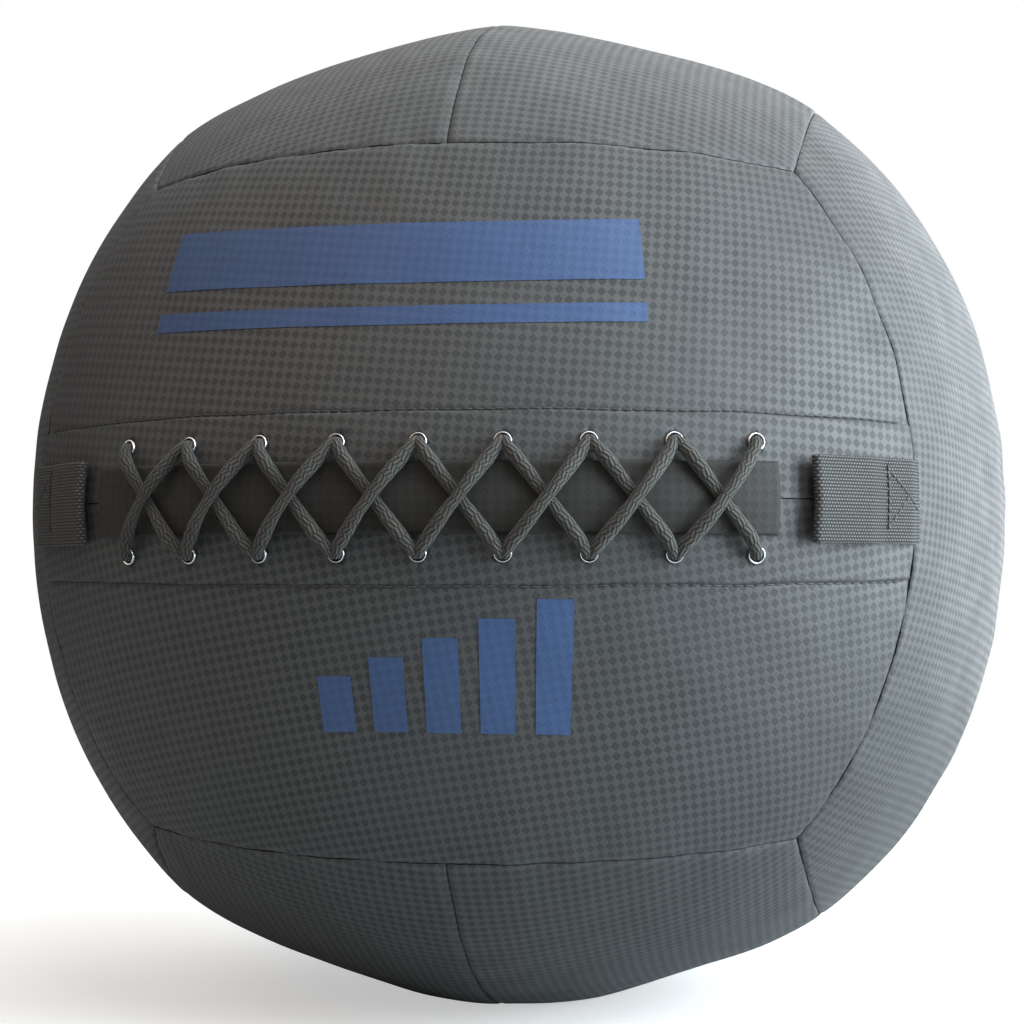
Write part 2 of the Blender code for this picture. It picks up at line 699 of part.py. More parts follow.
def build_bag_tie():
    """Cord ring that closes the bag's neck at its waist."""
    reach = NECK_WAIST_RADIUS + TIE_RADIUS + 2 * CLEARANCE
    height = BAG_RADIUS + NECK_LENGTH / 2
    profile = []
    for step in range(TIE_SECTION_STEPS):
        angle = math.pi / 2 - 2 * math.pi * step / TIE_SECTION_STEPS
        profile.append((reach + TIE_RADIUS * math.cos(angle), height + TIE_RADIUS * math.sin(angle)))
    tie = turned("bag_tie", profile, "lace", core_frame(), TURNED_STEPS)
    PARTS.objects.link(tie)
    return tie


def build_fibre_fill():
    """Packed fibre between the cover and the weight bag, hollowed behind the slit and open to it."""
    bm = bmesh.new()
    columns = both_ways(COARSE_SHARES)
    rows = COARSE_SHARES
    recess_depth = FLAP_DEPTH + slit_ridge() + FLAP_THICKNESS + CLEARANCE
    for panel in PANELS:
        patch = bmesh.ops.create_grid(bm, x_segments=len(columns) - 1, y_segments=len(rows) - 1, size=1)
        for vertex in patch["verts"]:
            along = columns[grid_index(vertex.co.x, columns)]
            across = rows[grid_index(vertex.co.y, rows)]
            behind_slit = panel in (UPPER, LOWER) and across <= FACING_WIDTH_SHARE and abs(along) < 1
            vertex.co = panel_point(panel, along, across, recess_depth if behind_slit else FILL_DEPTH)
    bmesh.ops.remove_doubles(bm, verts=bm.verts, dist=MERGE_DISTANCE)
    fill = mesh_object("fibre_fill", bm, "fibre")
    mouth = (FILL_CHANNEL_RADIUS, BALL_RADIUS + CUT_OVERRUN)
    shoulder = math.asin(FILL_CHANNEL_RADIUS / BAG_RADIUS)
    foot = (FILL_CHANNEL_RADIUS, BAG_RADIUS * math.cos(shoulder))
    ball = [point for point in bag_outline(CLEARANCE)[2:] if point[0] > FILL_CHANNEL_RADIUS or point[1] < 0]
    profile = [(0, mouth[1]), mouth, foot, *ball]
    cutter = turned("fill_hollow", profile, "fibre", core_frame(), TURNED_STEPS)
    CUTTERS.objects.link(cutter)
    hide_as_cutter(cutter)
    cut(fill, cutter)
    return fill


def build_front():
    """Front panels and facings, cut for their eyelets, and the eyelets themselves."""
    for row, panel, rise in (("upper", UPPER, EYELET_RISE), ("lower", LOWER, -EYELET_RISE)):
        holes = build_eyelet_cutter(row + "_eyelet_holes", rise)
        cut(build_panel(panel), holes)
        cut(build_facing(row + "_facing", panel), holes)
        for number, arc in enumerate(eyelet_arcs(), start=1):
            build_eyelet(f"{row}_eyelet_{number}", arc, rise)


def build_ball():
    """Build every piece of the wall ball."""
    build_front()
    for name in PANELS:
        if name not in (UPPER, LOWER):
            build_panel(name)
    build_cover_strip()
    build_inner_flap()
    build_lace()
    build_knot()
    build_tab_base("right_tab_base", 1)
    build_tab_base("left_tab_base", -1)
    build_tab_loop("right_tab_loop", 1)
    build_tab_loop("left_tab_loop", -1)
    build_fibre_fill()
    build_weight_bag()
    build_iron_sand()
    build_bag_tie()


clear_scene()
PARTS = new_collection("Wall ball")
CUTTERS = new_collection("Cutters")
MATERIALS = {name: new_material(name) for name in FINISHES}
CENTRE = bpy.data.objects.new("ball_centre", None)
PARTS.objects.link(CENTRE)
CENTRE.location = (0, 0, REST_HEIGHT)
build_ball()
bpy.context.view_layer.update()
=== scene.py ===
"""Dressed wall ball: sewn cover, lacing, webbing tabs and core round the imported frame.

Lengths are metres and +Z is up. The lacing faces -Y, and the origin lies on the floor under the
ball's centre.
"""

import json
import logging
import math
from collections.abc import Callable, Iterable
from dataclasses import dataclass, field
from enum import Enum
from functools import partial

import bmesh
import bpy
from mathutils import Matrix, Vector, noise

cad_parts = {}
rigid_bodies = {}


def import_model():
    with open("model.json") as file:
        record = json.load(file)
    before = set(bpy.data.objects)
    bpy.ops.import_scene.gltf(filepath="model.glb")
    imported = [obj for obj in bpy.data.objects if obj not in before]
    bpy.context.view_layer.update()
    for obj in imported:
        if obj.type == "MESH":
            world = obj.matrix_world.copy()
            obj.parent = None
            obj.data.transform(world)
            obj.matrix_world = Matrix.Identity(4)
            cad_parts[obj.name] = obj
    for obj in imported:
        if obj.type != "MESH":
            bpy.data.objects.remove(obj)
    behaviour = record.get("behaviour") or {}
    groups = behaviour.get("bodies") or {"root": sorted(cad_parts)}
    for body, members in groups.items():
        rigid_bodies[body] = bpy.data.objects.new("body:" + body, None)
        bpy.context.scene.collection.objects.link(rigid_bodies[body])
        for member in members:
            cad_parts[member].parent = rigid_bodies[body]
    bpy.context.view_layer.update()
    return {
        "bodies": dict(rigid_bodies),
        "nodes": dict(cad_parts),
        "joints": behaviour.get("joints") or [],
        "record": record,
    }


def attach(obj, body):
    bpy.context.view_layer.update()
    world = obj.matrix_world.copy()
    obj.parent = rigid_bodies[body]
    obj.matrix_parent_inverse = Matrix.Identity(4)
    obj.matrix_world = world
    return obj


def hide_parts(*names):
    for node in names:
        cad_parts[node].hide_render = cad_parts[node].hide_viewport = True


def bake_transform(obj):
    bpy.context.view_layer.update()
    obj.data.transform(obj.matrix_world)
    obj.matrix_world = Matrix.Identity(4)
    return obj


LOG = logging.getLogger("wall_ball")
MILLIMETRE = 0.001
CLEARANCE = 0.3 * MILLIMETRE
WELD_DISTANCE = CLEARANCE / 30
FLAT_MARGIN = 0.5
STITCH_SIZE = (1.65 * MILLIMETRE, 0.30 * MILLIMETRE, 0.30 * MILLIMETRE)

Pair = tuple[float, float]
Size = tuple[float, float, float]
Colour = tuple[float, float, float]
Surface = Callable[[float, float], Vector]
# Places on the way of a cord, each with its radius there.
Route = list[tuple[Vector, float]]
Piece = bpy.types.Object
Socket = bpy.types.NodeSocket


class Slot(Enum):
    """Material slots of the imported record."""

    COVER = "cover"
    FACING = "facing"
    WEBBING = "webbing"
    EYELET = "eyelet"
    LACE = "lace"
    FIBRE = "fibre"
    CANVAS = "canvas"
    IRON_SAND = "iron_sand"


class Body(Enum):
    """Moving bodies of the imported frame."""

    BALL = "ball"
    RIGHT_TAB = "right_tab"
    LEFT_TAB = "left_tab"


class Row(Enum):
    """The two rows of eyelets, with the side of the slit each lies on."""

    UPPER = 1
    LOWER = -1

    @property
    def word(self) -> str:
        """The row's name as the frame's nodes have it."""
        return self.name.lower()


@dataclass(frozen=True)
class PanelPlace:
    """One cover panel's directions: out of its face, over to its long seam, beside along its middle seam.

    The cloth of a panel was cut at the angle cut off its thread.
    """

    node: str
    out: Vector
    over: Vector
    beside: Vector
    cut: float = 0.0

    def turn(self, local: Vector) -> Vector:
        """Turn a direction given as (out, over, beside) into the frame's axes."""
        return self.out * local.x + self.over * local.y + self.beside * local.z


def panel_places() -> list[PanelPlace]:
    """List the twelve panels in the frame's order.

    Returns:
        The places of all panels.
    """
    x, y, z = Vector((1, 0, 0)), Vector((0, 1, 0)), Vector((0, 0, 1))
    return [
        PanelPlace("front_upper_panel", -y, z, x, math.radians(4.5)),
        PanelPlace("front_lower_panel", -y, -z, x, math.radians(9)),
        PanelPlace("rear_upper_panel", y, z, x, math.radians(-5)),
        PanelPlace("rear_lower_panel", y, -z, x),
        PanelPlace("top_left_panel", z, -x, y),
        PanelPlace("top_right_panel", z, x, y),
        PanelPlace("bottom_left_panel", -z, -x, y),
        PanelPlace("bottom_right_panel", -z, x, y),
        PanelPlace("right_front_panel", x, -y, z, math.radians(6)),
        PanelPlace("right_rear_panel", x, y, z),
        PanelPlace("left_front_panel", -x, -y, z, math.radians(3)),
        PanelPlace("left_rear_panel", -x, y, z),
    ]


def front_place(row: Row) -> PanelPlace:
    """Find the front panel that carries a row of eyelets."""
    return next(place for place in panel_places() if place.out.y < 0 and place.over.z == row.value)


@dataclass(frozen=True)
class BallShape:
    """Outside of the stuffed ball, the same as the frame's but without its facets."""

    radius: float = 0.175
    seam_angle: float = math.radians(37.9)
    edge_swell: float = 0.058
    panel_sink: float = 0.0040
    rest_sag: float = 0.0023
    rest_spread: float = 0.050
    rest_power: int = 6
    mean_fourth_power: float = 3 / 5
    corner: float = 1 / math.sqrt(3)

    @property
    def middle_reach(self) -> float:
        """Angle from a face's middle to the end of its middle seam."""
        return math.pi / 2 - self.seam_angle

    @property
    def slit_half_length(self) -> float:
        """Arc from the slit's middle to a side seam."""
        return self.middle_reach * self.radius

    @property
    def panel_width(self) -> float:
        """Arc from a middle seam to the long seam beside it."""
        return self.radius * self.seam_angle

    @property
    def border(self) -> float:
        """Share of a panel's width that its edge keeps from a seam."""
        return CLEARANCE / 2 / self.panel_width

    @property
    def slope(self) -> float:
        """Slope of the plane that holds a long seam."""
        return (math.sin(self.seam_angle) - self.corner) / (math.cos(self.seam_angle) - self.corner)

    @property
    def offset(self) -> float:
        """Offset of the plane that holds a long seam."""
        return self.corner * (1 - self.slope)

    @property
    def rest_height(self) -> float:
        """Height of the ball's centre above the floor."""
        return self.radius * (1 - self.edge_swell * (1 - self.mean_fourth_power)) - self.rest_sag

    @property
    def centre(self) -> Vector:
        """The ball's centre."""
        return Vector((0, 0, self.rest_height))

    def long_seam(self, longitude: float) -> Vector:
        """Find the direction of a place on a long seam.

        Args:
            longitude: Angle about the face's own length.

        Returns:
            The direction as (out, over, beside).
        """
        slope = self.slope * math.cos(longitude)
        latitude = math.atan(slope) + math.asin(self.offset / math.hypot(1, slope))
        level = math.cos(latitude)
        return Vector((level * math.cos(longitude), math.sin(latitude), level * math.sin(longitude)))

    def panel_direction(self, along: float, across: float) -> Vector:
        """Find the direction of a place on a panel, blended from its four seams.

        Args:
            along: From -1 to 1 between the panel's ends.
            across: From 0 on the middle seam to 1 on the long seam.

        Returns:
            The direction as (out, over, beside).
        """
        reach = along * self.middle_reach
        middle = Vector((math.cos(reach), 0, math.sin(reach)))
        outer = self.long_seam(along * math.pi / 4)
        out, over, beside = self.long_seam(across * math.pi / 4)
        share = (along + 1) / 2
        ends = Vector((over, beside, -out)) * (1 - share) + Vector((over, beside, out)) * share
        sides = middle * (1 - across) + outer * across
        inner_corner = Vector((math.sin(self.seam_angle), 0, math.cos(self.seam_angle) * along))
        outer_corner = Vector((self.corner, self.corner, self.corner * along))
        return (ends + sides - inner_corner * (1 - across) - outer_corner * across).normalized()

    def margins(self, out: float, over: float, beside: float) -> tuple[float, float]:
        """Measure how far a direction lies inside a face's long seams and inside its end seams."""
        return self.offset + self.slope * out - over, out - self.slope * beside - self.offset

    def cover_radius(self, direction: Vector) -> float:
        """Measure the distance from the centre to the cover's outside.

        Args:
            direction: Unit direction from the centre.

        Returns:
            The distance, fuller towards the seams and sunk inside each panel.
        """
        sizes = [abs(value) for value in direction]
        turns = [(sizes[axis], sizes[(axis + 1) % 3], sizes[(axis + 2) % 3]) for axis in range(3)]
        out, over, beside = max(turns, key=lambda turn: min(self.margins(*turn)))
        across = min(over / (self.offset + self.slope * out), 1)
        inside = max(self.margins(out, over, beside)[1], 0) / (1 - self.offset)
        hollow = 2 * across * (1 - across) + math.sin(math.pi * across) ** 2 / 2
        sunk = hollow * inside * (2 - inside)
        if direction.z < 0:
            from_rest = self.radius * math.hypot(direction.x, direction.y) / self.rest_spread
            sunk *= 1 - 1 / (1 + from_rest**self.rest_power)
        excess = sum(size**4 for size in sizes) - self.mean_fourth_power
        return self.radius * (1 - self.edge_swell * excess) - self.panel_sink * sunk

    def point(self, direction: Vector, depth: float = 0.0) -> Vector:
        """Place a point at a depth below the cover, pressed flat on the floor.

        Args:
            direction: Unit direction from the centre.
            depth: Depth below the outside, negative above it.

        Returns:
            The point in the frame.
        """
        place = direction * (self.cover_radius(direction) - depth)
        place.z = max(place.z, max(depth, 0.0) - self.rest_height)
        return place + self.centre

    def slit_direction(self, arc: float, rise: float) -> Vector:
        """Find the direction of a place near the slit.

        Args:
            arc: Arc to the right of the slit's middle.
            rise: Arc above the slit.

        Returns:
            The unit direction from the centre.
        """
        azimuth, elevation = arc / self.radius, rise / self.radius
        level = math.cos(elevation)
        return Vector((level * math.sin(azimuth), -level * math.cos(azimuth), math.sin(elevation)))

    def slit_point(self, arc: float, rise: float, height: float = 0.0) -> Vector:
        """Place a point near the slit at a height above the cover."""
        return self.point(self.slit_direction(arc, rise), -height)

    def slit_frame(self, arc: float, rise: float) -> Matrix:
        """Make the frame of a place near the slit: X along it, Y up across it, Z out of the cover.

        Args:
            arc: Arc to the right of the slit's middle.
            rise: Arc above the slit.

        Returns:
            The frame as a matrix.
        """
        step = CLEARANCE
        x_axis = (self.slit_point(arc + step, rise) - self.slit_point(arc - step, rise)).normalized()
        y_axis = (self.slit_point(arc, rise + step) - self.slit_point(arc, rise - step)).normalized()
        z_axis = x_axis.cross(y_axis).normalized()
        frame = Matrix((x_axis, z_axis.cross(x_axis), z_axis)).transposed().to_4x4()
        frame.translation = self.slit_point(arc, rise)
        return frame


def smooth_step(value: float, low: float, high: float) -> float:
    """Ease from 0 to 1 between two limits."""
    share = min(max((value - low) / (high - low), 0.0), 1.0)
    return share * share * (3 - 2 * share)


def rolled(inward: float, roll: float) -> float:
    """Measure how far a rounded edge falls away."""
    share = max(0.0, 1 - inward / roll)
    return 1 - math.sqrt(max(0.0, 1 - share * share))


def on_material(along: float, across: float) -> Pair:
    """Place two lengths on a flat material, whose origin lies well off its pieces."""
    return along + FLAT_MARGIN, across + FLAT_MARGIN


def crowded(count: int, crowding: float, low: float = 0.0, high: float = 1.0) -> list[float]:
    """Spread values from low to high, closer together near both ends.

    Args:
        count: How many steps there are.
        crowding: Share by which the first step is shorter than the mean.
        low: First value.
        high: Last value.

    Returns:
        The values, one more than the steps.
    """
    values = []
    for index in range(count + 1):
        share = index / count
        share -= crowding * math.sin(2 * math.pi * share) / (2 * math.pi)
        values.append(low + (high - low) * share)
    return values


def finish_mesh(name: str, bm: bmesh.types.BMesh, sharp_angle: float = math.radians(50)) -> Piece:
    """Turn a bmesh into a shown object with smooth shading.

    Args:
        name: Name of the piece.
        bm: The piece's mesh, freed here.
        sharp_angle: Angle from which an edge stays sharp.

    Returns:
        The object, at the origin.
    """
    bmesh.ops.recalc_face_normals(bm, faces=bm.faces)
    mesh = bpy.data.meshes.new(name)
    bm.to_mesh(mesh)
    bm.free()
    mesh.shade_smooth()
    mesh.set_sharp_from_angle(angle=sharp_angle)
    piece = bpy.data.objects.new(name, mesh)
    bpy.context.scene.collection.objects.link(piece)
    return piece


def laid_sheet(
    name: str,
    columns: list[float],
    rows: list[float],
    outside: Surface,
    inside: Surface,
    pattern: Callable[[float, float], Pair],
    nearness: Callable[[float, float], float] | None = None,
) -> Piece:
    """Model a closed sheet of material between two surfaces over a grid.

    Args:
        name: Name of the piece.
        columns: Grid values along the sheet.
        rows: Grid values across it.
        outside: Place of the outer side for a column's and a row's value.
        inside: Place of the inner side.
        pattern: Place on the flat material, in metres, kept as the piece's UV map.
        nearness: Closeness to a seam from 0 to 1, kept as the attribute seam_nearness.

    Returns:
        The sheet.
    """
    bm = bmesh.new()
    column_layer = bm.verts.layers.int.new("column")
    row_layer = bm.verts.layers.int.new("row")
    near_layer = bm.verts.layers.float.new("seam_nearness")
    bmesh.ops.create_grid(bm, x_segments=len(columns) - 1, y_segments=len(rows) - 1, size=1)
    for vertex in bm.verts:
        vertex[column_layer] = round((vertex.co.x + 1) / 2 * (len(columns) - 1))
        vertex[row_layer] = round((vertex.co.y + 1) / 2 * (len(rows) - 1))
        place = columns[vertex[column_layer]], rows[vertex[row_layer]]
        vertex[near_layer] = nearness(*place) if nearness else 0.0
        vertex.co = outside(*place)
    grown = bmesh.ops.extrude_face_region(bm, geom=bm.faces[:])
    for vertex in grown["geom"]:
        if isinstance(vertex, bmesh.types.BMVert):
            vertex.co = inside(columns[vertex[column_layer]], rows[vertex[row_layer]])
    map_layer = bm.loops.layers.uv.new("UVMap")
    for face in bm.faces:
        for loop in face.loops:
            place = columns[loop.vert[column_layer]], rows[loop.vert[row_layer]]
            loop[map_layer].uv = pattern(*place)
    return finish_mesh(name, bm)


def spun_shape(
    name: str,
    profile: list[Pair],
    frame: Matrix,
    steps: int,
    moved: Callable[[Vector], Vector] | None = None,
) -> Piece:
    """Turn a closed profile about a frame's Z axis, with a UV map of arcs about its widest ring.

    Args:
        name: Name of the piece.
        profile: Points of (radius, height), in order round the section.
        frame: Frame to turn it in.
        steps: Steps of a full turn.
        moved: Place of each turned point on the finished shape.

    Returns:
        The turned piece.
    """
    bm = bmesh.new()
    corners = [bm.verts.new((radius, 0, height)) for radius, height in profile]
    edges = [
        bm.edges.new((start, end))
        for start, end in zip(corners, corners[1:] + corners[:1])
        if start.co.x > 0 or end.co.x > 0
    ]
    bmesh.ops.spin(
        bm, geom=corners + edges, cent=(0, 0, 0), axis=(0, 0, 1), angle=2 * math.pi, steps=steps, use_merge=True
    )
    bmesh.ops.remove_doubles(bm, verts=bm.verts, dist=WELD_DISTANCE)
    widest = max(radius for radius, _ in profile)
    layer = bm.loops.layers.uv.new("UVMap")
    for face in bm.faces:
        middle = face.calc_center_median()
        lead = math.atan2(middle.y, middle.x)
        for loop in face.loops:
            place = loop.vert.co
            turn = math.atan2(place.y, place.x)
            turn += 2 * math.pi * round((lead - turn) / (2 * math.pi))
            fall = math.atan2(math.hypot(place.x, place.y), place.z)
            loop[layer].uv = (turn * widest, fall * widest)
    if moved:
        for vertex in bm.verts:
            vertex.co = moved(vertex.co.copy())
    bmesh.ops.transform(bm, matrix=frame, verts=bm.verts)
    return finish_mesh(name, bm)


def cut_out(piece: Piece, cutters: list[Piece]) -> None:
    """Cut closed shapes out of a piece for good, and remove them.

    Args:
        piece: What is cut.
        cutters: Shapes to take out of it.
    """
    for cutter in cutters:
        boolean = piece.modifiers.new(cutter.name, "BOOLEAN")
        boolean.operation = "DIFFERENCE"
        boolean.solver = "EXACT"
        boolean.object = cutter
    bake_modifiers(piece)
    for cutter in cutters:
        bpy.data.objects.remove(cutter)


def bake_modifiers(piece: Piece) -> None:
    """Apply all modifiers of a piece to its mesh.

    Args:
        piece: The piece, which keeps its name.
    """
    graph = bpy.context.evaluated_depsgraph_get()
    mesh = bpy.data.meshes.new_from_object(piece.evaluated_get(graph))
    old = piece.data
    piece.modifiers.clear()
    piece.data = mesh
    bpy.data.meshes.remove(old)
    mesh.name = piece.name


class NodeSheet:
    """The nodes of a new material or world, with short calls to add and join them."""

    def __init__(self, owner: bpy.types.Material | bpy.types.World) -> None:
        """Find the owner's nodes and its shader, the one node with an output.

        Args:
            owner: The new material or world.
        """
        owner.use_nodes = True
        self.tree = owner.node_tree
        self.shader = next(node for node in self.tree.nodes if node.outputs)

    def add(self, kind: str, **settings: object) -> bpy.types.Node:
        """Add a node.

        Args:
            kind: Blender's name of the node's type.
            **settings: Values for the node's own properties.

        Returns:
            The node.
        """
        node = self.tree.nodes.new(kind)
        for key, value in settings.items():
            setattr(node, key, value)
        return node

    def feed(self, socket: Socket, value: object) -> None:
        """Give an input what it takes.

        Args:
            socket: The input.
            value: An output to follow, a number, or a colour of three numbers.
        """
        if isinstance(value, Socket):
            self.tree.links.new(value, socket)
        else:
            socket.default_value = (*value, 1.0) if isinstance(value, tuple) else value

    def math(self, operation: str, first: object, second: object = 0.0) -> Socket:
        """Add a Math node.

        Args:
            operation: Blender's name of the operation.
            first: First value or output.
            second: Second value or output.

        Returns:
            The node's output.
        """
        node = self.add("ShaderNodeMath", operation=operation)
        self.feed(node.inputs[0], first)
        self.feed(node.inputs[1], second)
        return node.outputs[0]

    def ranged(self, value: Socket, limits: Pair, results: Pair = (0.0, 1.0), way: str = "SMOOTHSTEP") -> Socket:
        """Map a value from one range to another.

        Args:
            value: The output to map.
            limits: Lowest and highest value taken.
            results: What they become.
            way: Blender's name of the interpolation.

        Returns:
            The mapped output.
        """
        node = self.add("ShaderNodeMapRange", interpolation_type=way)
        names = ("Value", "From Min", "From Max", "To Min", "To Max")
        for key, number in zip(names, (value, *limits, *results)):
            self.feed(node.inputs[key], number)
        return node.outputs["Result"]

    def mixed(self, share: Socket, first: object, second: object) -> Socket:
        """Mix two colours by a share.

        Args:
            share: Output that gives the second colour's share.
            first: Colour or output at 0.
            second: Colour or output at 1.

        Returns:
            The mixed colour.
        """
        node = self.add("ShaderNodeMix", data_type="RGBA")
        for index, value in ((0, share), (6, first), (7, second)):
            self.feed(node.inputs[index], value)
        return node.outputs[2]

    def grain(self, scale: float, detail: float = 3.0, roughness: float = 0.5) -> Socket:
        """Add noise over the object's own coordinates.

        Args:
            scale: Waves a metre.
            detail: Octaves of detail.
            roughness: Strength of the finer octaves.

        Returns:
            The noise, about 0 to 1.
        """
        node = self.add("ShaderNodeTexNoise")
        place = self.add("ShaderNodeTexCoord").outputs["Object"]
        for key, value in (("Vector", place), ("Scale", scale), ("Detail", detail), ("Roughness", roughness)):
            self.feed(node.inputs[key], value)
        return node.outputs["Fac"]

    def flat_place(self) -> tuple[Socket, Socket]:
        """Read the place on the flat material from the piece's UV map.

        Returns:
            The two lengths, along and across.
        """
        parts = self.add("ShaderNodeSeparateXYZ")
        self.feed(parts.inputs[0], self.add("ShaderNodeUVMap", uv_map="UVMap").outputs["UV"])
        return parts.outputs["X"], parts.outputs["Y"]

    def waves(self, value: Socket, length: float, shift: object = 0.0) -> Socket:
        """Make a sine of a length on the material."""
        turned = self.math("MULTIPLY", value, 2 * math.pi / length)
        return self.math("SINE", self.math("ADD", turned, shift))

    def checks(self, along: Socket, across: Socket, pitch: float) -> Socket:
        """Draw rounded squares that stand on their corners."""
        weave = self.math("ADD", self.waves(along, pitch), self.waves(across, pitch))
        return self.ranged(weave, (-0.45, 0.20))

    def relief(self, layers: Iterable[tuple[Socket, float]]) -> None:
        """Give the shader a bump from layered heights.

        Args:
            layers: Pairs of a height output, about 0 to 1, and its depth in metres.
        """
        normal = None
        for height, depth in layers:
            bump = self.add("ShaderNodeBump")
            for key, value in (("Strength", 1.0), ("Distance", depth), ("Height", height)):
                self.feed(bump.inputs[key], value)
            if normal:
                self.feed(bump.inputs["Normal"], normal)
            normal = bump.outputs["Normal"]
        self.settle(Normal=normal)

    def settle(self, **sockets: object) -> None:
        """Feed the shader's own inputs, named with underscores for spaces."""
        for key, value in sockets.items():
            self.feed(self.shader.inputs[key.replace("_", " ")], value)


@dataclass(frozen=True)
class Finish:
    """A finish, drawn on a material of its own name."""

    name: str

    def build(self) -> bpy.types.Material:
        """Build the finish's material.

        Returns:
            The material.
        """
        material = bpy.data.materials.new(self.name)
        self.draw(NodeSheet(material))
        return material


@dataclass(frozen=True)
class CoverCloth(Finish):
    """Coated cloth with a check of rounded satin squares and smaller matt ones, standing on their corners."""

    name: str = "checked_cover_cloth"
    satin_colour: Colour = (0.062, 0.064, 0.065)
    matt_colour: Colour = (0.028, 0.030, 0.031)
    worn_colour: Colour = (0.075, 0.077, 0.080)
    rubbed_colour: Colour = (0.110, 0.113, 0.118)
    pitch: float = 3.26 * MILLIMETRE
    satin_roughness: float = 0.49
    matt_roughness: float = 0.60
    twill: float = 0.50 * MILLIMETRE
    shine: float = 0.46

    def draw(self, sheet: NodeSheet) -> None:
        """Draw the cloth's nodes.

        Args:
            sheet: The material's nodes.
        """
        along, across = sheet.flat_place()
        check = sheet.checks(along, across, self.pitch)
        diagonal = sheet.waves(sheet.math("ADD", along, across), self.twill)
        clouds = sheet.ranged(sheet.grain(14.0, 4.0), (0.30, 0.70))
        tone = sheet.mixed(check, self.matt_colour, self.satin_colour)
        worn = sheet.mixed(sheet.math("MULTIPLY", clouds, 0.22), tone, self.worn_colour)
        near = sheet.add("ShaderNodeAttribute", attribute_name="seam_nearness").outputs["Fac"]
        rubbed = sheet.math("MULTIPLY", near, sheet.ranged(sheet.grain(260.0), (0.35, 0.75), (0.05, 0.35)))
        sheet.settle(Base_Color=sheet.mixed(rubbed, worn, self.rubbed_colour))
        gloss = sheet.ranged(check, (0.0, 1.0), (self.matt_roughness, self.satin_roughness))
        sheet.settle(Roughness=sheet.math("ADD", gloss, sheet.ranged(sheet.grain(90.0), (0.3, 0.7), (-0.04, 0.05))))
        sheet.relief([
            (sheet.grain(24.0, 3.0), 0.6 * MILLIMETRE),
            (check, 0.045 * MILLIMETRE),
            (diagonal, 0.010 * MILLIMETRE),
            (sheet.grain(1500.0, 2.0), 0.030 * MILLIMETRE),
        ])
        sheet.settle(Specular_IOR_Level=self.shine, Sheen_Weight=0.05, Sheen_Roughness=0.5)


@dataclass(frozen=True)
class WovenWebbing(Finish):
    """Nylon webbing with ribs along it and floats that cross them in a stagger, its dips painted darker as painted
    shade and its raised tops painted lighter as a painted highlight.
    """

    name: str = "ribbed_webbing"
    # Colour painted on the raised tops of ribs and floats: a painted highlight.
    light: Colour = (0.128, 0.128, 0.121)
    # Colour painted in the dips of the weave: painted shade.
    dark: Colour = (0.016, 0.016, 0.016)
    fuzz: Colour = (0.045, 0.046, 0.047)
    rib: float = 0.94 * MILLIMETRE
    pick: float = 1.10 * MILLIMETRE

    def draw(self, sheet: NodeSheet) -> None:
        """Draw the webbing's nodes.

        Args:
            sheet: The material's nodes.
        """
        along, across = sheet.flat_place()
        ribs = sheet.waves(across, self.rib)
        stagger = sheet.math("MULTIPLY", sheet.math("FLOOR", sheet.math("DIVIDE", across, self.rib)), math.pi)
        floats = sheet.waves(along, self.pick, stagger)
        dips = sheet.ranged(floats, (-0.9, 0.5), (0.15, 1.0))
        height = sheet.math("MULTIPLY", sheet.ranged(ribs, (-0.8, 0.7)), dips)
        fuzz = sheet.grain(2200.0, 2.0)
        # The colour follows the weave's height: painted shade in the dips, painted highlight on the raised ribs and
        # floats.
        tone = sheet.mixed(height, self.dark, self.light)
        sheet.settle(Base_Color=sheet.mixed(sheet.ranged(fuzz, (0.35, 0.75), (0.0, 0.35)), tone, self.fuzz))
        sheet.settle(Roughness=sheet.ranged(height, (0.0, 1.0), (0.85, 0.52)))
        sheet.relief([(height, 0.30 * MILLIMETRE), (fuzz, 0.05 * MILLIMETRE)])
        sheet.settle(Specular_IOR_Level=0.52, Sheen_Weight=0.02, Sheen_Roughness=0.4)


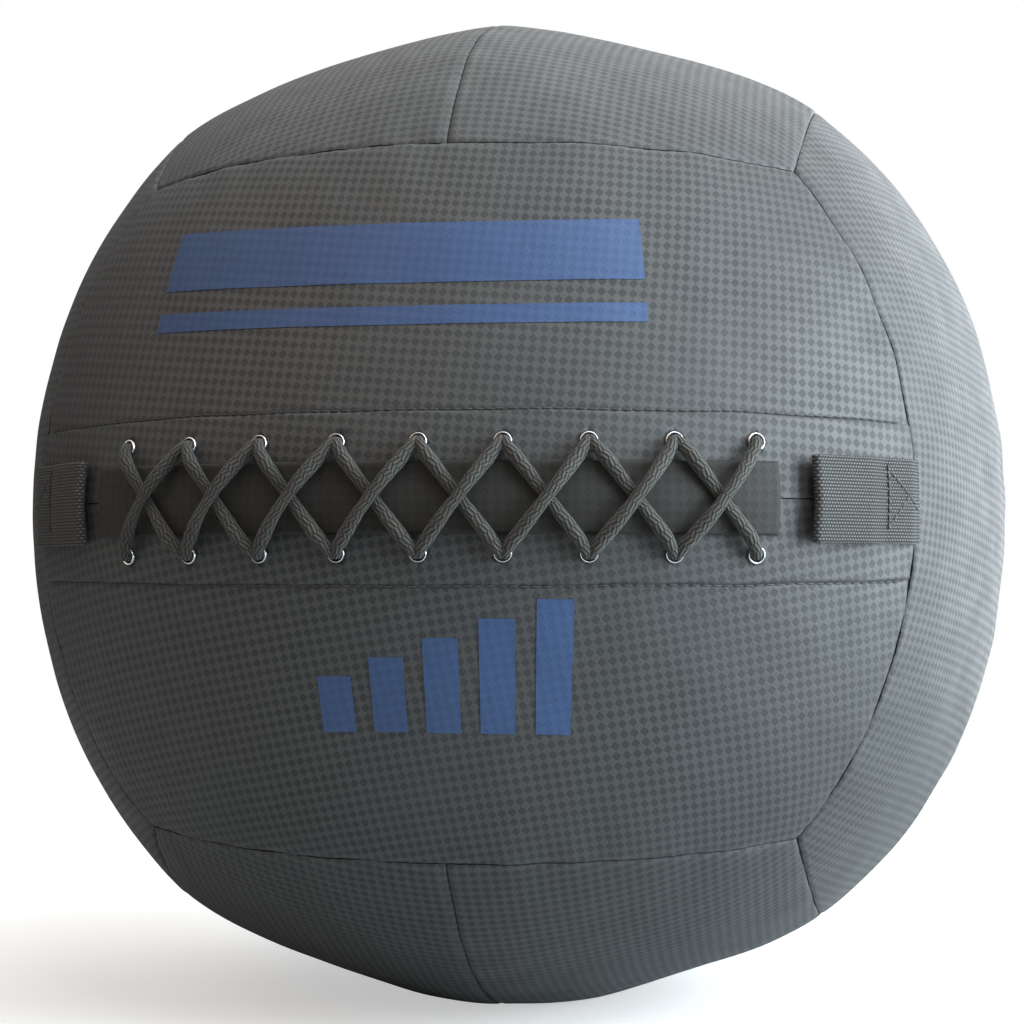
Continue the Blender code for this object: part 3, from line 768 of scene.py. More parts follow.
@dataclass(frozen=True)
class BraidedCord(Finish):
    """Round cord braided from dull yarn, with long slanting strands that pass over and under in turn; the strands'
    crests are painted light as a painted highlight and the rest dark as painted shade.
    """

    name: str = "braided_cord"
    # Colour painted on the strands' crests: a painted highlight.
    light: Colour = (0.112, 0.108, 0.094)
    # Colour painted between and below the crests: painted shade.
    dark: Colour = (0.019, 0.019, 0.016)
    fuzz: Colour = (0.045, 0.045, 0.042)
    round_length: float = 13.2 * MILLIMETRE
    strand_pitch: float = 5.4 * MILLIMETRE
    yarn: float = 0.47 * MILLIMETRE
    strands: int = 10

    def draw(self, sheet: NodeSheet) -> None:
        """Draw the cord's nodes.

        Args:
            sheet: The material's nodes.
        """
        along, around = sheet.flat_place()
        lead = sheet.math("MULTIPLY", along, 2 * math.pi / self.strand_pitch)
        turn = sheet.math("MULTIPLY", around, 2 * math.pi * self.strands)
        wobble = sheet.math("MULTIPLY", sheet.grain(300.0, 2.0), 1.6)
        lead = sheet.math("ADD", lead, wobble)
        falling = sheet.math("COSINE", sheet.math("ADD", lead, turn))
        rising = sheet.math("COSINE", sheet.math("SUBTRACT", lead, turn))
        above = sheet.ranged(sheet.math("COSINE", lead), (-0.4, 0.4))
        lift = sheet.math("MULTIPLY", above, sheet.math("SUBTRACT", falling, rising))
        height = sheet.ranged(sheet.math("ADD", rising, lift), (-1.0, 1.0))
        yarn = sheet.waves(sheet.math("MULTIPLY", around, self.round_length), self.yarn, wobble)
        fuzz = sheet.grain(2600.0, 2.0)
        # The colour follows the braid's height: painted highlight on the crests, painted shade between the strands.
        tone = sheet.mixed(sheet.ranged(height, (0.55, 1.0)), self.dark, self.light)
        sheet.settle(Base_Color=sheet.mixed(sheet.ranged(fuzz, (0.3, 0.75), (0.0, 0.45)), tone, self.fuzz))
        sheet.settle(Roughness=sheet.ranged(fuzz, (0.2, 0.8), (0.62, 0.86)))
        sheet.relief([(height, 0.42 * MILLIMETRE), (yarn, 0.03 * MILLIMETRE), (fuzz, 0.08 * MILLIMETRE)])
        sheet.settle(Specular_IOR_Level=0.40, Sheen_Weight=0.18, Sheen_Roughness=0.5)


@dataclass(frozen=True)
class SewingThread(Finish):
    """Twisted polyester thread."""

    name: str = "sewing_thread"
    colour: Colour = (0.014, 0.015, 0.016)
    frayed: Colour = (0.075, 0.077, 0.080)

    def draw(self, sheet: NodeSheet) -> None:
        """Draw the thread's nodes.

        Args:
            sheet: The material's nodes.
        """
        fibre = sheet.grain(3000.0, 3.0)
        sheet.settle(Base_Color=sheet.mixed(sheet.ranged(fibre, (0.3, 0.7)), self.colour, self.frayed))
        sheet.settle(Roughness=sheet.ranged(fibre, (0.2, 0.8), (0.45, 0.70)))
        sheet.relief([(fibre, 0.05 * MILLIMETRE)])


@dataclass(frozen=True)
class PlatedSteel(Finish):
    """Bright plating on pressed steel, with fine rubbing marks."""

    name: str = "bright_plated_steel"
    colour: Colour = (0.78, 0.78, 0.80)
    rubbed: Colour = (0.52, 0.52, 0.54)

    def draw(self, sheet: NodeSheet) -> None:
        """Draw the plating's nodes.

        Args:
            sheet: The material's nodes.
        """
        marks = sheet.grain(1400.0, 5.0, 0.7)
        sheet.settle(Base_Color=sheet.mixed(sheet.ranged(marks, (0.45, 0.75), (0.0, 0.5)), self.colour, self.rubbed))
        sheet.settle(Roughness=sheet.ranged(marks, (0.3, 0.8), (0.14, 0.34)))
        sheet.relief([(marks, 0.02 * MILLIMETRE)])
        sheet.settle(Metallic=1.0)


@dataclass(frozen=True)
class ScreenInk(Finish):
    """Blue screen ink that the cloth's check shows through."""

    name: str = "blue_screen_ink"
    satin_colour: Colour = (0.047, 0.091, 0.207)
    matt_colour: Colour = (0.040, 0.082, 0.192)
    thin_colour: Colour = (0.040, 0.050, 0.090)
    pitch: float = 3.26 * MILLIMETRE

    def draw(self, sheet: NodeSheet) -> None:
        """Draw the ink's nodes.

        Args:
            sheet: The material's nodes.
        """
        check = sheet.checks(*sheet.flat_place(), self.pitch)
        thin = sheet.ranged(sheet.grain(700.0, 4.0), (0.55, 0.80), (0.0, 0.5))
        tone = sheet.mixed(check, self.matt_colour, self.satin_colour)
        sheet.settle(Base_Color=sheet.mixed(thin, tone, self.thin_colour))
        sheet.settle(Roughness=sheet.ranged(check, (0.0, 1.0), (0.54, 0.48)))
        sheet.relief([(check, 0.03 * MILLIMETRE), (sheet.grain(1500.0, 2.0), 0.03 * MILLIMETRE)])
        sheet.settle(Specular_IOR_Level=0.4)


@dataclass(frozen=True)
class LooseFibre(Finish):
    """Packed reclaimed textile fibre."""

    name: str = "packed_fibre"
    dark: Colour = (0.30, 0.29, 0.27)
    light: Colour = (0.55, 0.54, 0.51)
    fleck: Colour = (0.16, 0.19, 0.26)

    def draw(self, sheet: NodeSheet) -> None:
        """Draw the fibre's nodes.

        Args:
            sheet: The material's nodes.
        """
        tufts = sheet.grain(180.0, 8.0, 0.75)
        flecks = sheet.ranged(sheet.grain(520.0, 2.0), (0.55, 0.68))
        tone = sheet.mixed(sheet.ranged(tufts, (0.3, 0.7)), self.dark, self.light)
        sheet.settle(Base_Color=sheet.mixed(flecks, tone, self.fleck))
        sheet.settle(Roughness=sheet.ranged(tufts, (0.2, 0.8), (0.85, 1.0)))
        sheet.relief([(tufts, 1.2 * MILLIMETRE)])
        sheet.settle(Sheen_Weight=0.3, Sheen_Roughness=0.6)


@dataclass(frozen=True)
class BagCanvas(Finish):
    """Plain woven canvas of undyed yarn, its weave painted darker in the dips as painted shade and lighter on the
    crossings as a painted highlight.
    """

    name: str = "bag_canvas"
    # Colour painted in the weave's dips: painted shade.
    dark: Colour = (0.21, 0.18, 0.14)
    # Colour painted on the weave's raised crossings: a painted highlight.
    light: Colour = (0.36, 0.32, 0.25)
    slub: Colour = (0.42, 0.38, 0.31)
    yarn: float = 1.0 * MILLIMETRE

    def draw(self, sheet: NodeSheet) -> None:
        """Draw the canvas's nodes.

        Args:
            sheet: The material's nodes.
        """
        along, across = sheet.flat_place()
        weave = sheet.math("MULTIPLY", sheet.waves(along, 2 * self.yarn), sheet.waves(across, 2 * self.yarn))
        slubs = sheet.grain(400.0, 3.0)
        # The colour follows the weave's height: painted shade in the dips, painted highlight on the crossings.
        tone = sheet.mixed(sheet.ranged(weave, (-0.5, 0.5)), self.dark, self.light)
        sheet.settle(Base_Color=sheet.mixed(sheet.ranged(slubs, (0.4, 0.7), (0.0, 0.5)), tone, self.slub))
        sheet.settle(Roughness=sheet.ranged(slubs, (0.2, 0.8), (0.80, 0.95)))
        sheet.relief([(weave, 0.15 * MILLIMETRE), (slubs, 0.10 * MILLIMETRE)])


@dataclass(frozen=True)
class IronGrains(Finish):
    """Fine iron sand with a few rusty grains."""

    name: str = "iron_grains"
    dark: Colour = (0.045, 0.043, 0.042)
    light: Colour = (0.19, 0.18, 0.18)
    rust: Colour = (0.16, 0.07, 0.03)

    def draw(self, sheet: NodeSheet) -> None:
        """Draw the sand's nodes.

        Args:
            sheet: The material's nodes.
        """
        grains = sheet.grain(1600.0, 3.0, 0.7)
        rust = sheet.ranged(sheet.grain(700.0, 2.0), (0.60, 0.72), (0.0, 0.7))
        tone = sheet.mixed(sheet.ranged(grains, (0.35, 0.65)), self.dark, self.light)
        sheet.settle(Base_Color=sheet.mixed(rust, tone, self.rust))
        sheet.settle(Roughness=sheet.ranged(grains, (0.2, 0.8), (0.75, 0.45)))
        sheet.relief([(grains, 0.5 * MILLIMETRE)])
        sheet.settle(Metallic=0.3)


SLOT_FINISHES = {
    Slot.COVER: CoverCloth.name,
    Slot.FACING: "strip_cloth",
    Slot.WEBBING: WovenWebbing.name,
    Slot.EYELET: PlatedSteel.name,
    Slot.LACE: BraidedCord.name,
    Slot.FIBRE: LooseFibre.name,
    Slot.CANVAS: BagCanvas.name,
    Slot.IRON_SAND: IronGrains.name,
}


@dataclass
class Workshop:
    """Finishes and shape that every sub-assembly shares, and how a piece is handed to the frame."""

    shape: BallShape = field(default_factory=BallShape)
    finishes: dict[str, bpy.types.Material] = field(default_factory=dict)

    def prepare(self) -> None:
        """Build all finishes once."""
        strip = CoverCloth(
            SLOT_FINISHES[Slot.FACING], (0.035, 0.034, 0.032), (0.030, 0.029, 0.027), (0.044, 0.043, 0.041),
            satin_roughness=0.52, matt_roughness=0.58, shine=0.18,
        )
        for finish in (
            CoverCloth(), strip, WovenWebbing(), BraidedCord(), SewingThread(), PlatedSteel(), ScreenInk(),
            LooseFibre(), BagCanvas(), IronGrains(),
        ):
            self.finishes[finish.name] = finish.build()

    def paint(self, piece: Piece, finish: str) -> None:
        """Give a piece one finish alone."""
        piece.data.materials.clear()
        piece.data.materials.append(self.finishes[finish])

    def dress(self, piece: Piece, slot: Slot, nodes: Iterable[str] = (), finish: str = "") -> None:
        """Give a piece that has its body the finish of its slot, and report it.

        Args:
            piece: The finished piece.
            slot: The record's slot that it belongs to.
            nodes: Frame nodes that it stands for.
            finish: Name of its material, where it isn't the slot's own.
        """
        self.paint(piece, finish or SLOT_FINISHES[slot])
        if nodes:
            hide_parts(*nodes)
        LOG.info("%s: %d faces in %s", piece.name, len(piece.data.polygons), piece.data.materials[0].name)

    def hand_over(self, piece: Piece, slot: Slot, nodes: Iterable[str] = (), finish: str = "") -> None:
        """Fix a piece to the ball and dress it, with the arguments of dress."""
        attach(piece, Body.BALL.value)
        self.dress(piece, slot, nodes, finish)


@dataclass
class Assembly:
    """A sub-assembly of the ball, made in the workshop."""

    shop: Workshop

    @property
    def shape(self) -> BallShape:
        """The ball's shape."""
        return self.shop.shape


@dataclass
class SewnCover(Assembly):
    """The twelve cover panels, rolled in at their seams, and the stitch lines of the front hems."""

    thickness: float = 0.0025
    seam_roll: float = 0.0015
    seam_depth: float = 0.0009
    slit_roll: float = 0.0006
    slit_depth: float = 0.0002
    pucker_depth: float = 0.0006
    pucker_fade: float = 0.014
    pucker_pitch: float = 0.013
    pucker_run: float = 0.060
    pucker_end: float = 0.070
    tug_depth: float = 0.00010
    tug_fade: float = 0.0018
    tug_pitch: float = 0.0048
    lump_depth: float = 0.0004
    lump_sizes: Pair = (0.034, 0.015)
    lump_start: Pair = (0.020, 0.045)
    rub_distance: float = 0.0014
    rub_width: float = 0.0009
    hem_rise: float = 0.0263
    hem_draw: float = 0.0026
    hem_wander: float = 0.0004
    hem_wander_length: float = 0.021
    hem_step: float = 0.00035
    hem_step_fade: float = 0.018
    hem_step_ramp: float = 0.0012
    hem_groove: float = 0.00070
    hem_groove_width: float = 0.0006
    hem_line_gap: float = 0.0004
    hem_end: float = 0.006
    stitch_pitch: float = 0.0034
    stitch_sink: float = 0.00022
    columns: int = 200
    rows: int = 44

    def seam_distances(self, local: Vector) -> tuple[float, float, float]:
        """Measure arcs from a panel's place to its middle seam, long seam and end seam.

        Args:
            local: Direction as (out, over, beside).

        Returns:
            The three distances.
        """
        shape = self.shape
        tilt = math.hypot(1, shape.slope)
        long_margin, end_margin = shape.margins(local.x, abs(local.y), abs(local.z))
        return (
            shape.radius * math.asin(min(abs(local.y), 1.0)),
            shape.radius * max(long_margin, 0.0) / tilt,
            shape.radius * max(end_margin, 0.0) / tilt,
        )

    def pucker(self, distance: float, run: float, world: Vector) -> float:
        """Work out how far a sewn seam draws the cloth in beside it.

        Args:
            distance: Arc to the seam.
            run: Arc along the seam.
            world: Direction in the frame.

        Returns:
            The depth.
        """
        if distance >= self.pucker_end:
            return 0.0
        seat = Vector((run / self.pucker_pitch, distance / self.pucker_run, world.x * 7 + world.z * 3))
        folds = self.pucker_depth * math.exp(-distance / self.pucker_fade) * (0.3 + noise.noise(seat))
        tugs = 1 + math.sin(2 * math.pi * run / self.tug_pitch)
        return folds + self.tug_depth * math.exp(-distance / self.tug_fade) * tugs

    def hem_depth(self, arc: float, middle: float) -> float:
        """Work out how far a hem and its stitch line draw the cloth in.

        Args:
            arc: Arc to the right of the slit's middle.
            middle: Arc from the slit.

        Returns:
            The depth.
        """
        past = middle - self.hem_line(arc)
        pull = 0.75 + 0.25 * math.cos(2 * math.pi * arc / self.stitch_pitch)
        depth = self.hem_groove * pull * math.exp(-((past / self.hem_groove_width) ** 2))
        if past > 0:
            depth += self.hem_step * math.exp(-past / self.hem_step_fade) * smooth_step(past, 0.0, self.hem_step_ramp)
        return depth

    def relief(self, place: PanelPlace, local: Vector) -> float:
        """Work out how far the real cloth stands off the smooth shape.

        Args:
            place: The panel.
            local: Direction as (out, over, beside).

        Returns:
            The height, negative where the cloth is drawn in.
        """
        radius, world, front = self.shape.radius, place.turn(local), place.out.y < 0
        middle, long, end = self.seam_distances(local)
        seams = [(long, local.z), (end, local.y)]
        if not front:
            seams.insert(0, (middle, local.z))
        height, start = 0.0, 1.0
        for distance, run in seams:
            height -= self.seam_depth * rolled(distance, self.seam_roll)
            height -= self.pucker(distance, run * radius, world)
        if front:
            height -= self.slit_depth * rolled(middle, self.slit_roll)
            height -= self.hem_depth(radius * math.atan2(local.z, local.x), middle)
            start = smooth_step(middle, *self.lump_start)
        coarse, fine = (noise.noise(world * radius / size) for size in self.lump_sizes)
        return height + self.lump_depth * start * (0.1 + coarse + 0.5 * fine)

    def hem_line(self, arc: float) -> float:
        """Follow the hand-guided stitch line of a hem."""
        drawn = self.hem_draw * (arc / self.shape.slit_half_length) ** 2
        return self.hem_rise - drawn + self.hem_wander * noise.noise(Vector((arc / self.hem_wander_length, 5.3, 0.7)))

    def flat_place(self, place: PanelPlace, local: Vector) -> Pair:
        """Find a direction's place on the panel's flat cloth.

        Args:
            place: The panel.
            local: Direction as (out, over, beside).

        Returns:
            Lengths along and across the cloth.
        """
        radius = self.shape.radius
        latitude = math.asin(max(-1.0, min(1.0, local.y)))
        longitude = math.atan2(local.z, local.x)
        flat = Vector((radius * longitude * (1 + math.cos(latitude)) / 2, radius * latitude))
        flat.rotate(Matrix.Rotation(place.cut, 2))
        return on_material(*flat)

    def row_lines(self, front: bool) -> list[float]:
        """List a panel's grid lines across it, closer at its seams and at a hem.

        Args:
            front: Whether the panel has a hem.

        Returns:
            The rising shares.
        """
        lines = crowded(self.rows, 0.75, self.shape.border, 1 - self.shape.border)
        if front:
            hem = [(self.hem_rise + step * self.hem_line_gap) / self.shape.panel_width for step in range(-9, 4)]
            lines = sorted([line for line in lines if not hem[0] - 0.01 < line < hem[-1] + 0.01] + hem)
        return lines

    def panel(self, place: PanelPlace) -> Piece:
        """Model one panel.

        Args:
            place: Which panel.

        Returns:
            The panel's piece.
        """
        shape = self.shape

        def outside(along: float, across: float) -> Vector:
            """Place the cloth's outer side."""
            local = shape.panel_direction(along, across)
            return shape.point(place.turn(local), -self.relief(place, local))

        def inside(along: float, across: float) -> Vector:
            """Place the cloth's inner side."""
            return shape.point(place.turn(shape.panel_direction(along, across)), self.thickness)

        def pattern(along: float, across: float) -> Pair:
            """Find the place on the flat cloth."""
            return self.flat_place(place, shape.panel_direction(along, across))

        def nearness(along: float, across: float) -> float:
            """Measure how much a seam's edge is rubbed."""
            closest = min(self.seam_distances(shape.panel_direction(along, across)))
            return math.exp(-(((closest - self.rub_distance) / self.rub_width) ** 2))

        name = place.node.replace("_panel", "_cover_panel")
        columns = crowded(self.columns, 0.35, -1 + shape.border, 1 - shape.border)
        rows = self.row_lines(place.out.y < 0)
        return laid_sheet(name, columns, rows, outside, inside, pattern, nearness)

    def hem_stitches(self, row: Row) -> Piece:
        """Model the thread of one hem's stitch line.

        Args:
            row: Which side of the slit.

        Returns:
            The stitches as one piece.
        """
        half = self.shape.slit_half_length - self.hem_end
        places = [(arc, row.value * self.hem_line(arc)) for arc in stitch_middles(-half, half, self.stitch_pitch)]
        return stitch_line(f"{row.word}_hem_stitches", self.shape, places, -self.stitch_sink)

    def build(self, holes: "Eyelets") -> None:
        """Build all panels and hem stitches.

        Args:
            holes: The eyelets, whose holes the front panels get.
        """
        for place in panel_places():
            piece = self.panel(place)
            if place.out.y < 0:
                holes.pierce(piece, Row(round(place.over.z)))
            self.shop.hand_over(piece, Slot.COVER, [place.node])
        for row in Row:
            self.shop.hand_over(self.hem_stitches(row), Slot.COVER, finish=SewingThread.name)


def stitch_middles(low: float, high: float, pitch: float) -> list[float]:
    """Space the stitches of a seam evenly."""
    count = int((high - low) / pitch)
    return [low + (index + 0.5) * (high - low) / count for index in range(count)]


def add_stitch(bm: bmesh.types.BMesh, frame: Matrix, turn: float, size: Size) -> None:
    """Add one stitch of thread to a mesh."""
    matrix = frame @ Matrix.Rotation(turn, 4, "Z") @ Matrix.Diagonal((*size, 1))
    bmesh.ops.create_uvsphere(bm, u_segments=6, v_segments=6, radius=1, matrix=matrix)


def stitch_line(name: str, shape: BallShape, places: list[Pair], height: float) -> Piece:
    """Model stitches that run along the slit.

    Args:
        name: Name of the piece.
        shape: The ball's shape.
        places: Arc and rise of each stitch's middle.
        height: Height of the thread's middle above the cover.

    Returns:
        The stitches as one piece.
    """
    bm = bmesh.new()
    for arc, rise in places:
        frame = shape.slit_frame(arc, rise)
        frame.translation = shape.slit_point(arc, rise, height)
        add_stitch(bm, frame, 0.0, STITCH_SIZE)
    return finish_mesh(name, bm)


@dataclass
class Eyelets(Assembly):
    """Two rows of plated eyelets, each with a rolled flange outside and a clinched washer inside."""

    count: int = 9
    laced_share: float = 0.631
    rise: float = 0.0163
    shift: float = -0.0022
    hole: float = 0.0020
    wall: float = 0.0003
    flange: float = 0.00045
    rim: float = 0.0008
    washer_depth: float = 0.0051
    washer: float = 0.0007
    chamfer: float = 0.0001
    crest_steps: int = 8
    steps: int = 36

    @property
    def barrel(self) -> float:
        """Outer radius of an eyelet's barrel."""
        return self.hole + self.wall

    @property
    def pitch(self) -> float:
        """Arc between neighbouring eyelets."""
        return 2 * self.laced_share * self.shape.slit_half_length / (self.count - 1)

    @property
    def arcs(self) -> list[float]:
        """Arcs of a row's eyelets from left to right."""
        return [self.shift + (index - (self.count - 1) / 2) * self.pitch for index in range(self.count)]

    @property
    def depth(self) -> float:
        """Depth of the washer's inner side."""
        return self.washer_depth + self.washer

    @property
    def top(self) -> float:
        """Height of the flange's crest."""
        return CLEARANCE + self.rim

    def profile(self) -> list[Pair]:
        """Draw an eyelet's section.

        Returns:
            Points of (radius, height) round the section.
        """
        flange = self.barrel + self.flange
        crest = (self.hole + flange) / 2
        half = (flange - self.hole) / 2
        small, seat = self.chamfer, CLEARANCE * 0.9
        points = []
        for step in range(self.crest_steps + 1):
            angle = math.pi * step / self.crest_steps
            points.append((crest - half * math.cos(angle), CLEARANCE + self.rim * math.sin(angle)))
        return points + [
            (flange - small, seat),
            (self.barrel + small, seat),
            (self.barrel, CLEARANCE * 0.6),
            (self.barrel, -self.washer_depth),
            (flange - small, -self.washer_depth),
            (flange, -self.washer_depth - self.washer / 2),
            (flange - small, -self.depth),
            (self.hole + small, -self.depth),
            (self.hole, -self.depth + small),
        ]

    def cutter(self, row: Row, index: int) -> Piece:
        """Make the shape that cuts an eyelet's hole.

        Args:
            row: Which row.
            index: Number of the eyelet from the left, from 0.

        Returns:
            The cutter.
        """
        bm = bmesh.new()
        radius = self.barrel + CLEARANCE / 2
        frame = self.shape.slit_frame(self.arcs[index], row.value * self.rise)
        bmesh.ops.create_cone(
            bm, cap_ends=True, segments=24, radius1=radius, radius2=radius, depth=4 * self.depth, matrix=frame
        )
        return finish_mesh(f"{row.word}_hole_{index + 1}", bm)

    def pierce(self, piece: Piece, row: Row) -> None:
        """Cut a row's holes through a piece."""
        cut_out(piece, [self.cutter(row, index) for index in range(self.count)])

    def build(self) -> None:
        """Build all eyelets."""
        for row in Row:
            for index, arc in enumerate(self.arcs):
                frame = self.shape.slit_frame(arc, row.value * self.rise)
                node = f"{row.word}_eyelet_{index + 1}"
                piece = spun_shape(f"{node}_ring", self.profile(), frame, self.steps)
                self.shop.hand_over(piece, Slot.EYELET, [node])


@dataclass
class Closure(Assembly):
    """Smooth strip over the slit, under the lace."""

    eyelets: Eyelets
    strip_thickness: float = 0.0012
    strip_half_width: float = 0.0107
    left_overhang: float = 0.0119
    right_overhang: float = 0.0066
    edge_roll: float = 0.0010
    edge_depth: float = 0.00055
    wave: float = 0.00018
    wave_sizes: Pair = (0.012, 0.009)
    puff: float = 0.00020
    sink: float = 0.00010

    @property
    def strip_ends(self) -> Pair:
        """Arcs of the strip's two ends."""
        return self.eyelets.arcs[0] - self.left_overhang, self.eyelets.arcs[-1] + self.right_overhang

    @property
    def strip_top(self) -> float:
        """Height of the strip's outer side."""
        return CLEARANCE + self.strip_thickness

    def outside(self, arc: float, rise: float) -> Vector:
        """Place the strip's outer side, puffed between the lace's crossings and thin at its folded edges.

        Args:
            arc: Arc to the right of the slit's middle.
            rise: Arc above the slit.

        Returns:
            The point in the frame.
        """
        (low, high), half = self.strip_ends, self.strip_half_width
        inward = min(half - abs(rise), arc - low, high - arc)
        flat = min(inward / self.edge_roll, 1.0)
        wave = self.wave * noise.noise(Vector((arc / self.wave_sizes[0], rise / self.wave_sizes[1], 3.1)))
        puff = self.puff * math.sin(math.pi * (arc - low) / self.eyelets.pitch) ** 2 * (1 - (rise / half) ** 2)
        fall = self.edge_depth * rolled(inward, self.edge_roll)
        return self.shape.slit_point(arc, rise, self.strip_top - fall + wave * flat + puff - self.sink)

    def inside(self, arc: float, rise: float) -> Vector:
        """Place the strip's inner side, clear of the cover."""
        return self.shape.slit_point(arc, rise, CLEARANCE)

    def build(self) -> None:
        """Build the strip."""
        columns = crowded(150, 0.6, *self.strip_ends)
        rows = crowded(18, 0.7, -self.strip_half_width, self.strip_half_width)
        piece = laid_sheet("slit_cover_strip", columns, rows, self.outside, self.inside, on_material)
        self.shop.hand_over(piece, Slot.FACING, ["cover_strip"])


@dataclass(frozen=True)
class Hole:
    """The side of an eyelet's hole that a strand takes, 1 on the right and -1 on the left."""

    arc: float
    rise: float
    side: int


@dataclass
class Lacing(Assembly):
    """The lace: a falling half, a rising half over it, and the turn that joins them inside on the left."""

    eyelets: Eyelets
    closure: Closure
    radius: float = 0.0021
    crossing_share: float = 0.86
    inner_share: float = 0.76
    turn_share: float = 0.45
    facing_inner_depth: float = 0.0043
    facet_sag: float = 0.0005
    knot_half_length: float = 0.0060
    hole_offset: float = 0.00035
    sample: float = 0.0008
    bend: float = 0.0002
    crest: float = 0.0027
    rim_gap: float = 0.0008
    squash: float = 0.40
    squash_margin: float = 0.001

    @property
    def crossing(self) -> float:
        """Radius where the strands cross."""
        return self.radius * self.crossing_share

    @property
    def inner(self) -> float:
        """Radius behind the slit."""
        return self.radius * self.inner_share

    @property
    def snug(self) -> float:
        """Radius inside an eyelet, which the two squeezed strands fill."""
        return self.eyelets.hole - self.hole_offset - CLEARANCE / 6

    @property
    def near_depth(self) -> float:
        """Depth of the falling half's upright runs."""
        return self.facing_inner_depth + self.facet_sag + CLEARANCE + self.inner

    @property
    def far_depth(self) -> float:
        """Depth of the rising half's upright runs."""
        return self.near_depth + 2 * self.inner + CLEARANCE

    @property
    def flap_depth(self) -> float:
        """Depth of the flap's outer side."""
        return self.far_depth + self.inner + CLEARANCE

    @property
    def knot_depth(self) -> float:
        """Depth of the knot's middle."""
        return (self.facing_inner_depth + 2 * self.facet_sag + self.flap_depth) / 2

    def leg(self, hole: Hole, target: Hole) -> Route:
        """Route the lace from a hole over its rim to the strip.

        Args:
            hole: Hole that it comes out of.
            target: Hole that it runs to.

        Returns:
            The route.
        """
        shape, top = self.shape, self.eyelets.top
        frame = shape.slit_frame(hole.arc, hole.rise)
        aside = hole.side * self.hole_offset
        run = Vector((target.arc - hole.arc, target.rise - hole.rise)).normalized()
        edge = math.copysign(self.closure.strip_half_width, hole.rise)
        edge_arc = hole.arc + (hole.rise - edge) / (hole.rise - target.rise) * (target.arc - hole.arc)
        bend, crest = run * self.bend, run * self.crest
        return [
            (frame @ Vector((aside, 0, 0)), self.snug),
            (frame @ Vector((aside + bend.x, bend.y, top + self.rim_gap)), self.snug),
            (frame @ Vector((crest.x, crest.y, top + self.crossing + 2 * CLEARANCE / 3)), self.crossing),
            (shape.slit_point(edge_arc, edge, self.closure.strip_top + CLEARANCE + self.radius), self.radius),
        ]

    def outer_run(self, start: Hole, end: Hole, over: bool) -> Route:
        """Route one slanting run over the slit.

        Args:
            start: Hole that it leaves.
            end: Hole that it enters.
            over: Whether it lies over the other half.

        Returns:
            The route.
        """
        height = self.closure.strip_top + CLEARANCE + self.crossing
        if over:
            height += 2 * (self.crossing + CLEARANCE)
        middle = self.shape.slit_point((start.arc + end.arc) / 2, (start.rise + end.rise) / 2, height)
        return self.leg(start, end) + [(middle, self.crossing)] + self.leg(end, start)[::-1]

    def inner_leg(self, hole: Hole) -> Route:
        """Route the lace out of a hole on the inside.

        Args:
            hole: The hole.

        Returns:
            The route.
        """
        frame = self.shape.slit_frame(hole.arc, hole.rise)
        depth = self.eyelets.depth + CLEARANCE
        spread, towards = hole.side * (self.radius + CLEARANCE), math.copysign(self.radius, -hole.rise)
        return [
            (frame @ Vector((hole.side * self.hole_offset, 0, -depth)), self.snug),
            (frame @ Vector((spread, towards, -depth - self.radius)), self.crossing),
        ]

    def inner_run(self, start: Hole, end: Hole, depth: float) -> Route:
        """Route one upright run behind the slit.

        Args:
            start: Hole that it leaves.
            end: Hole that it enters, in the other row.
            depth: Depth at which it changes sides.

        Returns:
            The route.
        """
        middle, spread = [], self.radius + CLEARANCE
        for hole in (start, end):
            place = self.shape.slit_point(hole.arc + hole.side * spread, hole.rise * self.turn_share, -depth)
            middle.append((place, self.inner))
        return self.inner_leg(start) + middle + self.inner_leg(end)[::-1]

    def series(self, rise: float, depth: float, over: bool) -> Route:
        """Route one half of the lace from left to right, to the knot.

        Args:
            rise: Rise of its first eyelet.
            depth: Depth of its upright runs.
            over: Whether its slanting runs lie on top.

        Returns:
            The route.
        """
        arcs, points = self.eyelets.arcs, []
        for arc, next_arc in zip(arcs, arcs[1:]):
            entered = Hole(next_arc, -rise, -1)
            points += self.outer_run(Hole(arc, rise, 1), entered, over)
            if next_arc < arcs[-1]:
                points += self.inner_run(entered, Hole(next_arc, rise, 1), depth)
        stop = math.copysign(self.knot_half_length + CLEARANCE, -rise)
        end = self.shape.slit_point(arcs[-1] - self.radius - CLEARANCE, stop, -self.knot_depth)
        return points + self.inner_leg(Hole(arcs[-1], -rise, -1)) + [(end, self.inner)]

    def route(self) -> Route:
        """Route the whole lace.

        Returns:
            The route, from one end at the knot to the other.
        """
        rise, first = self.eyelets.rise, self.eyelets.arcs[0]
        falling = self.series(rise, self.near_depth, over=False)
        rising = self.series(-rise, self.far_depth, over=True)
        turn = self.inner_leg(Hole(first, -rise, 1)) + self.inner_leg(Hole(first, rise, 1))[::-1]
        return rising[::-1] + turn + falling

    def pressed(self, piece: Piece) -> None:
        """Flatten the lace's crossings against the strip, as its pull does.

        Args:
            piece: The lace.
        """
        shape, top = self.shape, self.closure.strip_top
        edge = self.closure.strip_half_width + self.squash_margin
        for vertex in piece.data.vertices:
            away = vertex.co - shape.centre
            direction = away.normalized()
            height = away.length - shape.cover_radius(direction)
            rise = shape.radius * math.asin(abs(direction.z))
            if height > top:
                share = self.squash * (1 - smooth_step(rise, 0.0, edge))
                vertex.co = shape.point(direction, -(top + (height - top) * (1 - share)))

    def build(self) -> None:
        """Build the lace."""
        piece = smooth_cord("braided_lace", self.route(), self.radius, self.sample, 5)
        self.pressed(piece)
        self.shop.hand_over(piece, Slot.LACE, ["lace"])


